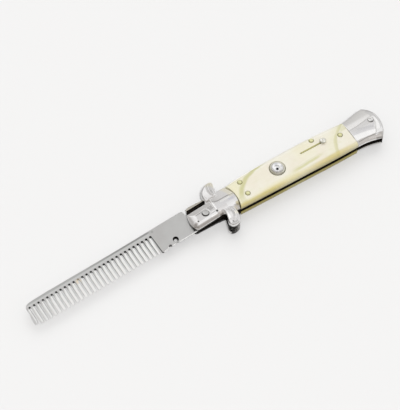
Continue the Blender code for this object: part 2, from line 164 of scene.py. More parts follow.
class Region:
    """A flat region: the union of its solid loops, without its holes."""

    def __init__(self, solids, holes=()):
        self.solids, self.holes = solids, holes
        loops = list(solids) + [facing(h, False) for h in holes]
        points = np.vstack(loops)
        edges, first = [], 0
        for loop in loops:
            n = len(loop)
            edges += [(first + i, first + (i + 1) % n) for i in range(n)]
            first += n
        vertices, faces, _ = triangulated(points, edges)
        faces = faces[self.contains(vertices[faces].mean(1))]
        directed = {}
        for f in faces:
            for a, b in ((f[0], f[1]), (f[1], f[2]), (f[2], f[0])):
                directed[(int(a), int(b))] = True
        rim = [e for e in directed if (e[1], e[0]) not in directed]
        used = sorted({i for e in rim for i in e})
        index = {old: new for new, old in enumerate(used)}
        self.points = vertices[used]
        self.edges = np.array([(index[a], index[b]) for a, b in rim])
        self.a, self.b = self.points[self.edges[:, 0]], self.points[self.edges[:, 1]]

    def contains(self, points):
        found = np.zeros(len(points), bool)
        for loop in self.solids:
            found |= in_loop(points, loop)
        for loop in self.holes:
            found &= ~in_loop(points, loop)
        return found

    def depth(self, points):
        return from_edges(points, self.a, self.b)

    def rings(self, offsets):
        """Points set in from the rim by each offset, left out where another edge is nearer."""
        n = len(self.points)
        after, before = np.zeros((n, 2)), np.zeros((n, 2))
        run = self.b - self.a
        run /= np.linalg.norm(run, axis=1)[:, None]
        after[self.edges[:, 0]] = run
        before[self.edges[:, 1]] = run
        left = lambda v: np.stack([-v[:, 1], v[:, 0]], 1)
        middle = left(before) + left(after)
        middle /= np.linalg.norm(middle, axis=1)[:, None] + 1e-12
        lean = np.clip((middle * left(after)).sum(1), 0.3, 1)
        convex = before[:, 0] * after[:, 1] - before[:, 1] * after[:, 0] > 0
        reach = np.where(convex, 1 / lean, 1.0)
        found = []
        for d in offsets:
            p = self.points + middle * (d * reach)[:, None]
            p = p[self.contains(p)]
            found.append(p[self.depth(p) > 0.96 * d])
        return found

    def filling(self, spacing, margin):
        low, high = self.points.min(0), self.points.max(0)
        rows = np.arange(low[1], high[1], spacing * 0.866)
        found = []
        for i, y in enumerate(rows):
            x = np.arange(low[0] + (i % 2) * spacing / 2, high[0], spacing)
            found.append(np.stack([x, np.full_like(x, y)], 1))
        p = np.vstack(found)
        p = p[self.contains(p)]
        return p[self.depth(p) > margin]


def spread(points, least):
    """The points without any that comes within least of one before it."""
    cell, kept, seen = least, [], {}
    for p in points:
        key = (int(p[0] // cell), int(p[1] // cell))
        near = [q for i in (-1, 0, 1) for j in (-1, 0, 1) for q in seen.get((key[0] + i, key[1] + j), ())]
        if all((q[0] - p[0]) ** 2 + (q[1] - p[1]) ** 2 > least * least for q in near):
            seen.setdefault(key, []).append(p)
            kept.append(p)
    return np.array(kept) if kept else np.zeros((0, 2))


def plan_piece(name, region, top, under, offsets, spacing, place, both=False, sharp=32.0, least=0.0, extra=None):
    """A closed mesh over a region. top and under give the height at (x, y, depth); place puts (x, y, z) in the handle frame."""
    inner = region.rings(offsets)
    if extra is not None:
        keep = extra[region.contains(extra)]
        inner.insert(0, keep[region.depth(keep) > 0.05])
    inner.append(region.filling(spacing, max(offsets) + spacing * 0.55))
    inner = np.vstack([p for p in inner if len(p)])
    if least:
        inner = spread(inner, least)
    points = np.vstack([region.points, inner])
    vertices, faces, origin = triangulated(points, region.edges)
    faces = faces[region.contains(vertices[faces].mean(1))]
    rim_at = {int(o): i for i, o in enumerate(origin) if 0 <= o < len(region.points)}
    depth = region.depth(vertices)
    depth[list(rim_at.values())] = 0.0
    heads = np.column_stack([vertices, top(vertices[:, 0], vertices[:, 1], depth)])
    if both:
        low_v, low_f, low_at, low_d = vertices, faces, rim_at, depth
    else:
        low_v, low_f, low_o = triangulated(region.points, region.edges)
        low_f = low_f[region.contains(low_v[low_f].mean(1))]
        low_at = {int(o): i for i, o in enumerate(low_o)}
        low_d = np.zeros(len(low_v))
    feet = np.column_stack([low_v, under(low_v[:, 0], low_v[:, 1], low_d)])
    base = len(heads)
    polygons = [tuple(int(i) for i in f) for f in faces]
    polygons += [tuple(int(i) + base for i in f[::-1]) for f in low_f]
    for a, b in region.edges:
        a, b = int(a), int(b)
        polygons.append((rim_at[b], rim_at[a], low_at[a] + base, low_at[b] + base))
    return solid(name, place(np.vstack([heads, feet])), polygons, sharp)


def solid(name, points, polygons, sharp=32.0):
    """An object from points in the handle frame, in millimetres."""
    points = np.array(points, float)
    points[:, :2] += PIVOT
    mesh = bpy.data.meshes.new(name)
    mesh.from_pydata((points * MM).tolist(), [], polygons)
    bm = bmesh.new()
    bm.from_mesh(mesh)
    loose = [v for v in bm.verts if not v.link_faces]
    bmesh.ops.delete(bm, geom=loose, context="VERTS")
    bmesh.ops.recalc_face_normals(bm, faces=bm.faces)
    bm.to_mesh(mesh)
    bm.free()
    mesh.shade_smooth()
    mesh.set_sharp_from_angle(angle=math.radians(sharp))
    obj = bpy.data.objects.new(name, mesh)
    bpy.context.scene.collection.objects.link(obj)
    return obj


def turned(name, profile, centre, count=64, closed=False, sharp=40.0, flip=False, touch=None):
    """A turned piece from (radius, height) rows, from the top of its outside to its foot."""
    rows = [(r, THICK - z if flip else z) for r, z in profile]
    angles = np.linspace(0, 2 * math.pi, count, endpoint=False)
    points, rings = [], []
    for r, z in rows:
        if r < 1e-6:
            rings.append([len(points)])
            points.append((centre[0], centre[1], z))
        else:
            rings.append(list(range(len(points), len(points) + count)))
            points += [(centre[0] + r * math.cos(a), centre[1] + r * math.sin(a), z) for a in angles]
    polygons = []
    pairs = list(zip(rings, rings[1:])) + ([(rings[-1], rings[0])] if closed else [])
    for a, b in pairs:
        for i in range(count):
            j = (i + 1) % count
            if len(a) == 1 and len(b) > 1:
                polygons.append((a[0], b[i], b[j]))
            elif len(b) == 1 and len(a) > 1:
                polygons.append((a[i], a[j], b[0]))
            elif len(a) > 1:
                polygons.append((a[i], a[j], b[j], b[i]))
    if touch:
        points = touch(np.array(points, float))
    return solid(name, points, polygons, sharp)


def rounded(r0, z0, r1, z1, count=6):
    """Profile rows along a quarter ellipse, from the flat at (r0, z0) out and down to the wall at (r1, z1)."""
    a = np.linspace(0, math.pi / 2, count + 1)
    return [(r0 + (r1 - r0) * math.sin(t), z1 + (z0 - z1) * math.cos(t)) for t in a]


# ---------------------------------------------------------------- height tools


def roll(d, width, drop):
    """Drop of a rounded edge at distance d from it."""
    t = np.clip(1 - d / width, 0, 1)
    return drop * (1 - np.sqrt(np.clip(1 - t * t, 0, 1)))


def low(a, b, k):
    """Smooth minimum."""
    h = np.maximum(k - np.abs(a - b), 0) / k
    return np.minimum(a, b) - h * h * k / 4


def high(a, b, k):
    """Smooth maximum."""
    return -low(-a, -b, k)


def step(x, a, b):
    t = np.clip((x - a) / (b - a), 0, 1)
    return t * t * (3 - 2 * t)


def column(table, x, i):
    rows = np.array(table, float)
    return np.interp(x, rows[:, 0], rows[:, i])


def edge_rows(width, count=5):
    """Offsets that sample a rounded edge evenly round its quarter."""
    a = np.linspace(0, math.pi / 2, count + 1)[1:]
    return [float(width * (1 - math.cos(t))) for t in a]


def still(p):
    return p


def comb_place(p):
    return rotated(p, COMB_ANGLE)


def rotated(p, degrees):
    a = math.radians(degrees)
    q = np.array(p, float)
    q[:, 0] = p[:, 0] * math.cos(a) - p[:, 1] * math.sin(a)
    q[:, 1] = p[:, 0] * math.sin(a) + p[:, 1] * math.cos(a)
    return q


def mirrored(p):
    """The same piece on the back, its face down."""
    q = np.array(p, float)
    q[:, 2] = THICK - q[:, 2]
    return q


# ---------------------------------------------------------------- node tools


class Nodes:
    """Short calls for building a node tree. A value is a number, a colour or another node's output."""

    def __init__(self, tree):
        self.tree = tree

    def add(self, kind, **settings):
        node = self.tree.nodes.new(kind)
        for key, value in settings.items():
            setattr(node, key, value)
        return node

    def put(self, socket, value):
        if isinstance(value, bpy.types.NodeSocket):
            self.tree.links.new(value, socket)
        elif value is not None:
            if isinstance(value, (tuple, list)) and len(value) == 3 and socket.type == "RGBA":
                value = (*value, 1.0)
            socket.default_value = value

    def math(self, operation, a, b=None, c=None, clamp=False):
        node = self.add("ShaderNodeMath", operation=operation, use_clamp=clamp)
        for socket, value in zip(node.inputs, (a, b, c)):
            self.put(socket, value)
        return node.outputs[0]

    def vector(self, operation, a, b=None, scale=None):
        node = self.add("ShaderNodeVectorMath", operation=operation)
        self.put(node.inputs[0], a)
        if b is not None:
            self.put(node.inputs[1], b)
        if scale is not None:
            self.put(node.inputs["Scale"], scale)
        return node.outputs["Value"] if operation in ("LENGTH", "DISTANCE", "DOT_PRODUCT") else node.outputs[0]

    def split(self, vector):
        node = self.add("ShaderNodeSeparateXYZ")
        self.put(node.inputs[0], vector)
        return node.outputs

    def join(self, x, y, z):
        node = self.add("ShaderNodeCombineXYZ")
        for socket, value in zip(node.inputs, (x, y, z)):
            self.put(socket, value)
        return node.outputs[0]

    def noise(self, vector, scale, detail=2.0, rough=0.5, distortion=0.0, colour=False):
        node = self.add("ShaderNodeTexNoise")
        self.put(node.inputs["Vector"], vector)
        node.inputs["Scale"].default_value = scale
        node.inputs["Detail"].default_value = detail
        node.inputs["Roughness"].default_value = rough
        node.inputs["Distortion"].default_value = distortion
        return node.outputs["Color" if colour else "Fac"]

    def range(self, value, a, b, c=0.0, d=1.0, smooth_step=True):
        node = self.add("ShaderNodeMapRange", interpolation_type="SMOOTHSTEP" if smooth_step else "LINEAR")
        for socket, v in zip(node.inputs, (value, a, b, c, d)):
            self.put(socket, v)
        return node.outputs[0]

    def mix(self, factor, a, b, blend="MIX"):
        node = self.add("ShaderNodeMix", data_type="RGBA", blend_type=blend)
        self.put(node.inputs["Factor"], factor)
        self.put(node.inputs[6], a)
        self.put(node.inputs[7], b)
        return node.outputs[2]

    def ramp(self, factor, stops):
        node = self.add("ShaderNodeValToRGB")
        ramp = node.color_ramp
        while len(ramp.elements) < len(stops):
            ramp.elements.new(0.5)
        for element, (at, colour) in zip(ramp.elements, stops):
            element.position = at
            element.color = (*colour, 1.0)
        self.put(node.inputs[0], factor)
        return node.outputs[0]

    def hand(self):
        """Handle-frame coordinates in millimetres, fixed to the piece."""
        coords = self.add("ShaderNodeTexCoord").outputs["Object"]
        return self.vector("SUBTRACT", self.vector("SCALE", coords, scale=1 / MM), (PIVOT[0], PIVOT[1], 0.0))

    def bump(self, height, distance, strength=1.0, normal=None):
        node = self.add("ShaderNodeBump")
        node.inputs["Strength"].default_value = strength
        node.inputs["Distance"].default_value = distance
        self.put(node.inputs["Height"], height)
        if normal is not None:
            self.put(node.inputs["Normal"], normal)
        return node.outputs[0]


def principled(name, metallic, ior=1.5, coat=0.0, coat_roughness=0.05, specular=0.5):
    made = bpy.data.materials.new(name)
    made.use_nodes = True
    shader = made.node_tree.nodes["Principled BSDF"]
    shader.inputs["Metallic"].default_value = metallic
    shader.inputs["IOR"].default_value = ior
    shader.inputs["Coat Weight"].default_value = coat
    shader.inputs["Coat Roughness"].default_value = coat_roughness
    shader.inputs["Specular IOR Level"].default_value = specular
    return made, Nodes(made.node_tree), shader


# ---------------------------------------------------------------- materials


def scratches(n, p, angle, scale, thin):
    """Fine straight marks along one direction."""
    turn = n.add("ShaderNodeVectorRotate", rotation_type="Z_AXIS")
    n.put(turn.inputs["Vector"], p)
    turn.inputs["Angle"].default_value = math.radians(angle)
    along = n.vector("MULTIPLY", turn.outputs[0], (0.035, 1.0, 1.0))
    return n.range(n.noise(along, scale, 3.0, 0.6), thin, thin + 0.12)


def metal(name, base, warm, rough, grain=0.25, bump=0.000006, marks=0.5, detail=None):
    """Polished plate with hazy patches, polishing lines and small scratches."""
    made, n, shader = principled(name, 1.0)
    p = n.hand()
    haze = n.noise(p, 0.16, 3.0, 0.55)
    fine = n.noise(p, 1.3, 4.0, 0.6)
    lines = n.noise(n.vector("MULTIPLY", p, (0.18, 2.2, 2.2)), 2.4, 4.0, 0.65)
    cuts = scratches(n, p, 17.0, 3.1, 0.64)
    cuts2 = scratches(n, p, -38.0, 2.6, 0.66)
    tone = n.mix(n.range(haze, 0.35, 0.68), base, warm)
    tone = n.mix(n.math("MULTIPLY", n.math("MAXIMUM", cuts, cuts2), 0.12), tone, (0.45, 0.43, 0.41))
    if detail:
        tone = detail(n, p, tone)
    n.put(shader.inputs["Base Color"], tone)
    wear = n.math("ADD", n.math("MULTIPLY", n.range(fine, 0.3, 0.75), grain * 0.35), rough)
    wear = n.math("ADD", wear, n.math("MULTIPLY", n.math("MAXIMUM", cuts, cuts2), marks * 0.12))
    n.put(shader.inputs["Roughness"], wear)
    height = n.math("ADD", n.math("MULTIPLY", lines, 0.5), n.math("MULTIPLY", fine, 0.5))
    height = n.math("SUBTRACT", height, n.math("MULTIPLY", n.math("MAXIMUM", cuts, cuts2), 0.35))
    n.put(shader.inputs["Normal"], n.bump(height, bump))
    return made


def turned_back(n, p, degrees):
    """The point in a frame turned by degrees about the pivot."""
    turn = n.add("ShaderNodeVectorRotate", rotation_type="Z_AXIS")
    n.put(turn.inputs["Vector"], p)
    turn.inputs["Angle"].default_value = math.radians(-degrees)
    return turn.outputs[0]


def near(n, q, x, y, inner, outer):
    """1 inside a spot on the plan, falling to 0 at its outer radius."""
    flat = n.vector("MULTIPLY", q, (1.0, 1.0, 0.0))
    return n.range(n.vector("DISTANCE", flat, (x, y, 0.0)), outer, inner)


def line(n, q, a, b, inner, outer):
    """1 along a straight mark on the plan between a and b."""
    ax, ay = a
    dx, dy = b[0] - ax, b[1] - ay
    reach = math.hypot(dx, dy)
    off = n.vector("SUBTRACT", n.vector("MULTIPLY", q, (1.0, 1.0, 0.0)), (ax, ay, 0.0))
    along = n.vector("DOT_PRODUCT", off, (dx / reach, dy / reach, 0.0))
    side = n.math("ABSOLUTE", n.vector("DOT_PRODUCT", off, (-dy / reach, dx / reach, 0.0)))
    ends = n.math("MULTIPLY", n.range(along, -0.3, 0.1), n.range(along, reach + 0.3, reach - 0.1))
    return n.math("MULTIPLY", n.range(side, outer, inner), ends)


def run_of_lines(n, q, path, inner, outer):
    found = None
    for a, b in zip(path[:-1], path[1:]):
        one = line(n, q, a, b, inner, outer)
        found = one if found is None else n.math("MAXIMUM", found, one)
    return found


def painted_shade_walls(n, p, tone, below):
    """Painted shade: walls low on the slot side of a bolster, facing that side, painted nearly black."""
    normal = n.add("ShaderNodeNewGeometry").outputs["True Normal"]
    nx, ny, nz = n.split(normal)
    mask = n.math("MULTIPLY", n.range(n.math("ABSOLUTE", nz), 0.6, 0.3), n.range(ny, 0.05, -0.25))
    mask = n.math("MULTIPLY", mask, n.range(n.split(p)[2], below + 0.25, below - 0.1))
    return n.mix(mask, tone, (0.022, 0.019, 0.017))


def front_marks_and_painted_light(n, p, tone):
    """Painted light and marks on the upper front bolster: dark lines painted along the creases, a painted highlight on
    the step, painted reflections and painted shade across the facets and quillons, and the two small nicks.
    """
    q = turned_back(n, p, BOLSTER_TILT)
    crease = ((6.9, 3.35), (7.5, 2.95), (8.6, 2.4), (10.3, 2.03), (13.95, 1.9), (17.6, 1.68))
    # dark lines painted along the creases, and painted shade in the fine groove under the sliver
    tone = n.mix(n.math("MULTIPLY", run_of_lines(n, q, crease, 0.16, 0.46), 0.62), tone, (0.26, 0.25, 0.24))
    tone = n.mix(n.math("MULTIPLY", run_of_lines(n, q, ((-5.4, 1.35), (0.0, 1.9), (5.4, 2.2)), 0.08, 0.3), 0.30), tone, (0.30, 0.29, 0.28))
    tone = n.mix(n.math("MULTIPLY", run_of_lines(n, q, ((3.0, -2.3), (4.9, -2.2)), 0.05, 0.3), 0.4), tone, (0.25, 0.24, 0.23))
    # painted highlights on the step and across the facets, painted reflections in lilac, grey and the celluloid's
    # colour, and painted shade in the hollow by the slot quillon and low on the nose
    bright = run_of_lines(n, q, ((6.45, 5.2), (6.1, 2.02), (5.95, -0.5), (5.85, -1.9)), 0.35, 0.8)
    tone = n.mix(bright, tone, (1.0, 0.995, 0.985))
    tone = n.mix(n.math("MULTIPLY", line(n, q, (10.5, 0.9), (16.5, 0.6), 0.3, 1.1), 0.7), tone, (0.96, 0.95, 0.93))
    tone = n.mix(n.math("MULTIPLY", line(n, q, (15.2, -0.7), (18.0, -1.2), 0.3, 0.9), 0.7), tone, (0.68, 0.68, 0.73))
    tone = n.mix(n.math("MULTIPLY", line(n, q, (6.5, -2.6), (12.5, -2.8), 0.4, 1.3), 0.8), tone, (0.67, 0.65, 0.64))
    tone = n.mix(n.math("MULTIPLY", near(n, q, 7.3, -6.0, 0.6, 2.0), 0.85), tone, (0.24, 0.215, 0.19))
    tone = n.mix(n.math("MULTIPLY", near(n, q, -8.9, -4.1, 0.5, 1.9), 0.7), tone, (0.42, 0.39, 0.37))
    tone = n.mix(n.math("MULTIPLY", near(n, q, 18.3, -5.2, 0.6, 1.8), 0.9), tone, (0.54, 0.48, 0.31))
    tone = n.mix(n.math("MULTIPLY", near(n, q, 16.0, -6.8, 0.6, 1.6), 0.7), tone, (0.97, 0.91, 0.78))
    tone = n.mix(n.math("MULTIPLY", line(n, q, (1.6, -4.1), (5.0, -4.4), 0.2, 0.7), 0.8), tone, (0.98, 0.96, 0.94))
    tone = n.mix(n.math("MULTIPLY", line(n, q, (9.6, -6.2), (9.2, -10.5), 0.5, 1.2), 0.9), tone, (1.0, 0.995, 0.98))
    # the quillons: a darker end on the slot quillon, a painted highlight on its right flank, painted shade in its grey
    # furrow and along the spine quillon's outer curve
    tone = n.mix(line(n, q, (8.2, -13.9), (11.9, -14.7), 0.5, 1.3), tone, (0.62, 0.61, 0.60))
    tone = n.mix(near(n, q, 14.1, -9.4, 0.6, 1.6), tone, (0.98, 0.95, 0.87))
    tone = n.mix(n.math("MULTIPLY", run_of_lines(n, q, SLOT_RIDGE[1:4], 0.15, 0.6), 0.7), tone, (0.60, 0.595, 0.59))
    rim = run_of_lines(n, q, ((4.3, 8.0), (4.9, 10.6), (5.9, 12.2), (7.6, 13.7), (10.0, 14.6), (12.4, 15.0)), 0.25, 0.9)
    tone = n.mix(n.math("MULTIPLY", rim, 0.85), tone, (0.52, 0.515, 0.51))
    # darker painted reflections on the nose, and a painted highlight beside the step
    tone = n.mix(n.math("MULTIPLY", near(n, q, -8.35, -2.9, 0.5, 1.5), 0.9), tone, (0.50, 0.47, 0.45))
    tone = n.mix(n.math("MULTIPLY", line(n, q, (-8.2, 2.2), (-8.2, -1.0), 0.8, 1.6), 0.35), tone, (0.67, 0.65, 0.63))
    tone = n.mix(n.math("MULTIPLY", near(n, q, 7.1, -4.3, 0.4, 1.1), 0.9), tone, (0.97, 0.93, 0.90))
    # painted reflection of the celluloid's colour at the rear arc
    out = n.vector("LENGTH", n.vector("MULTIPLY", q, (1.0, 1.0, 0.0)))
    warm = n.math("MULTIPLY", n.range(out, 15.9, 18.0), n.range(n.split(q)[1], -0.5, 1.5))
    tone = n.mix(n.math("MULTIPLY", warm, 0.8), tone, (0.86, 0.82, 0.68))
    # the two small nicks, painted nearly black, and painted shade near the slot quillon's tip
    tone = n.mix(near(n, q, 5.86, -2.74, 0.35, 0.8), tone, (0.07, 0.065, 0.06))
    tone = n.mix(near(n, q, -6.35, -2.2, 0.25, 0.65), tone, (0.10, 0.095, 0.09))
    tone = n.mix(n.math("MULTIPLY", near(n, q, 9.45, -13.1, 0.15, 0.6), 0.8), tone, (0.16, 0.15, 0.14))
    return painted_shade_walls(n, p, tone, 8.0)


def back_painted_shade(n, p, tone):
    """The lower plate: painted shade, nearly black, on the low walls of its slot side, but for one worn corner of the
    quillon.
    """
    worn = near(n, p, 7.2, -13.6, 1.0, 1.8)
    dark = painted_shade_walls(n, p, tone, 3.7)
    return n.mix(worn, dark, tone)


nickel = metal("polished_nickel", (0.80, 0.79, 0.785), (0.76, 0.745, 0.74), 0.11, detail=front_marks_and_painted_light)


def rear_marks_and_painted_light(n, p, tone):
    """Painted light on the upper rear bolster: a fine dark line along the slot side, painted shade on the spine side,
    on the rim round the butt and in a few bands, and a painted highlight near the slot edge.
    """
    x, y, z = n.split(p)
    tone = n.mix(n.math("MULTIPLY", n.range(y, 4.6, 7.2), 0.95), tone, (0.70, 0.69, 0.675))
    tone = n.mix(n.math("MULTIPLY", line(n, p, (102.0, 0.4), (111.4, -2.1), 0.3, 1.3), 0.6), tone, (0.74, 0.735, 0.735))
    out = n.vector("DISTANCE", n.vector("MULTIPLY", p, (1.0, 1.0, 0.0)), (101.3, 1.0, 0.0))
    tone = n.mix(n.math("MULTIPLY", n.range(out, 14.2, 14.7), 0.85), tone, (0.74, 0.735, 0.73))
    tone = n.mix(n.math("MULTIPLY", line(n, p, (115.2, 4.6), (114.3, 9.0), 0.8, 2.2), 0.75), tone, (0.60, 0.595, 0.59))
    streak = run_of_lines(n, p, ((98.8, -6.25), (104.0, -6.15), (109.0, -6.65), (112.9, -7.3)), 0.08, 0.42)
    tone = n.mix(n.math("MULTIPLY", streak, 0.6), tone, (0.38, 0.37, 0.36))
    paler = run_of_lines(n, p, ((105.0, -7.1), (107.5, -7.6), (110.6, -8.5), (112.5, -8.9)), 0.25, 0.75)
    tone = n.mix(n.math("MULTIPLY", paler, 0.85), tone, (1.0, 0.985, 0.98))
    darker = run_of_lines(n, p, ((109.2, -9.15), (110.8, -9.6), (113.2, -10.4)), 0.3, 0.9)
    return n.mix(n.math("MULTIPLY", darker, 0.75), tone, (0.42, 0.40, 0.39))


# the upper rear bolster's copy of the nickel is painted lighter than the front one's, as painted light
rear_nickel = metal("polished_nickel_rear", (0.87, 0.86, 0.85), (0.83, 0.82, 0.81), 0.11, detail=rear_marks_and_painted_light)
chrome = metal("button_chrome", (0.86, 0.86, 0.87), (0.82, 0.82, 0.83), 0.06, grain=0.12, bump=0.000002)


def button_tone(n, p, tone):
    """Painted reflections on the dome: a grey patch low on it, a lilac-grey patch high on it and a painted highlight,
    and the dimple painted nearly black.
    """
    tone = n.mix(n.math("MULTIPLY", near(n, p, 49.6, 1.0, 0.7, 1.4), 0.8), tone, (0.66, 0.65, 0.62))
    tone = n.mix(n.math("MULTIPLY", near(n, p, 49.4, 4.9, 0.5, 1.3), 0.8), tone, (0.68, 0.68, 0.71))
    tone = n.mix(near(n, p, 51.2, 3.4, 0.6, 1.4), tone, (1.0, 1.0, 1.0))
    return n.mix(near(n, p, 48.3, 1.7, 0.55, 0.95), tone, (0.010, 0.010, 0.014))


dimpled = metal(
    "button_chrome_top", (0.90, 0.90, 0.91), (0.86, 0.86, 0.87), 0.06, grain=0.12, bump=0.000002,
    detail=button_tone,
)
def shaded_shank(n, p, tone):
    """Painted shade: a rivet painted nearly black below the height of its top face, where it sits down in its hole."""
    return n.mix(n.range(n.split(p)[2], 10.50, 10.38), tone, (0.02, 0.018, 0.016))


rivet = metal("rivet_nickel", (0.65, 0.645, 0.635), (0.58, 0.575, 0.565), 0.12, detail=shaded_shank)


def shaded_rivet_face(n, p, tone):
    """Painted shadow on the slot side of the rear rivet's head."""
    tone = n.mix(n.math("MULTIPLY", line(n, p, (111.9, 1.05), (113.1, 1.0), 0.2, 0.65), 0.7), tone, (0.44, 0.43, 0.42))
    return shaded_shank(n, p, tone)


rear_rivet = metal("rivet_nickel_rear", (0.90, 0.895, 0.885), (0.86, 0.855, 0.845), 0.10, detail=shaded_rivet_face)


def ring_tone(n, p, tone):
    """Painted reflection of the celluloid's colour in the ring: deeper at its front, clear at its rear."""
    x = n.split(p)[0]
    tone = n.mix(n.range(x, 47.5, 45.0), tone, (0.70, 0.685, 0.56))
    return n.mix(n.range(x, 50.5, 53.5), tone, (0.95, 0.935, 0.85))


def knob_tone(n, p, tone):
    # painted reflections on the knob: the celluloid's olive, darker, on its front and low flank, and two painted
    # highlights on its top
    tone = n.mix(near(n, p, KNOB[0] - 1.1, KNOB[1] - 0.9, 0.3, 1.3), tone, (0.66, 0.65, 0.56))
    out = n.vector("DISTANCE", n.vector("MULTIPLY", p, (1.0, 1.0, 0.0)), (KNOB[0], KNOB[1], 0.0))
    flank = n.math("MULTIPLY", n.range(out, 1.3, 1.6), n.range(n.split(p)[0], KNOB[0] + 0.2, KNOB[0] - 0.9))
    tone = n.mix(n.math("MULTIPLY", flank, 0.8), tone, (0.58, 0.57, 0.50))
    tone = n.mix(near(n, p, KNOB[0] - 0.9, KNOB[1] + 0.8, 0.25, 0.6), tone, (1.0, 1.0, 0.97))
    tone = n.mix(near(n, p, KNOB[0] + 0.6, KNOB[1] + 0.05, 0.25, 0.6), tone, (1.0, 1.0, 0.97))
    return tone


# the ring's and the knob's chrome carry the celluloid's olive in their base colour, as a painted reflection
ring_chrome_reflecting_ivory = metal("button_chrome_ring", (0.80, 0.785, 0.70), (0.74, 0.725, 0.63), 0.08, grain=0.12, bump=0.000002, detail=ring_tone)
knob_chrome_reflecting_ivory = metal("button_chrome_knob", (0.84, 0.825, 0.75), (0.80, 0.785, 0.70), 0.08, grain=0.12, bump=0.000002, detail=knob_tone)
# the lower bolsters' copies of the nickel are painted darker, the rear one darker and warmer still, as painted shade
back_nickel = metal("polished_nickel_back", (0.78, 0.77, 0.765), (0.70, 0.69, 0.68), 0.14, detail=back_painted_shade)
shaded_plain_nickel = metal("polished_nickel_rear_back", (0.60, 0.59, 0.555), (0.55, 0.54, 0.505), 0.14)


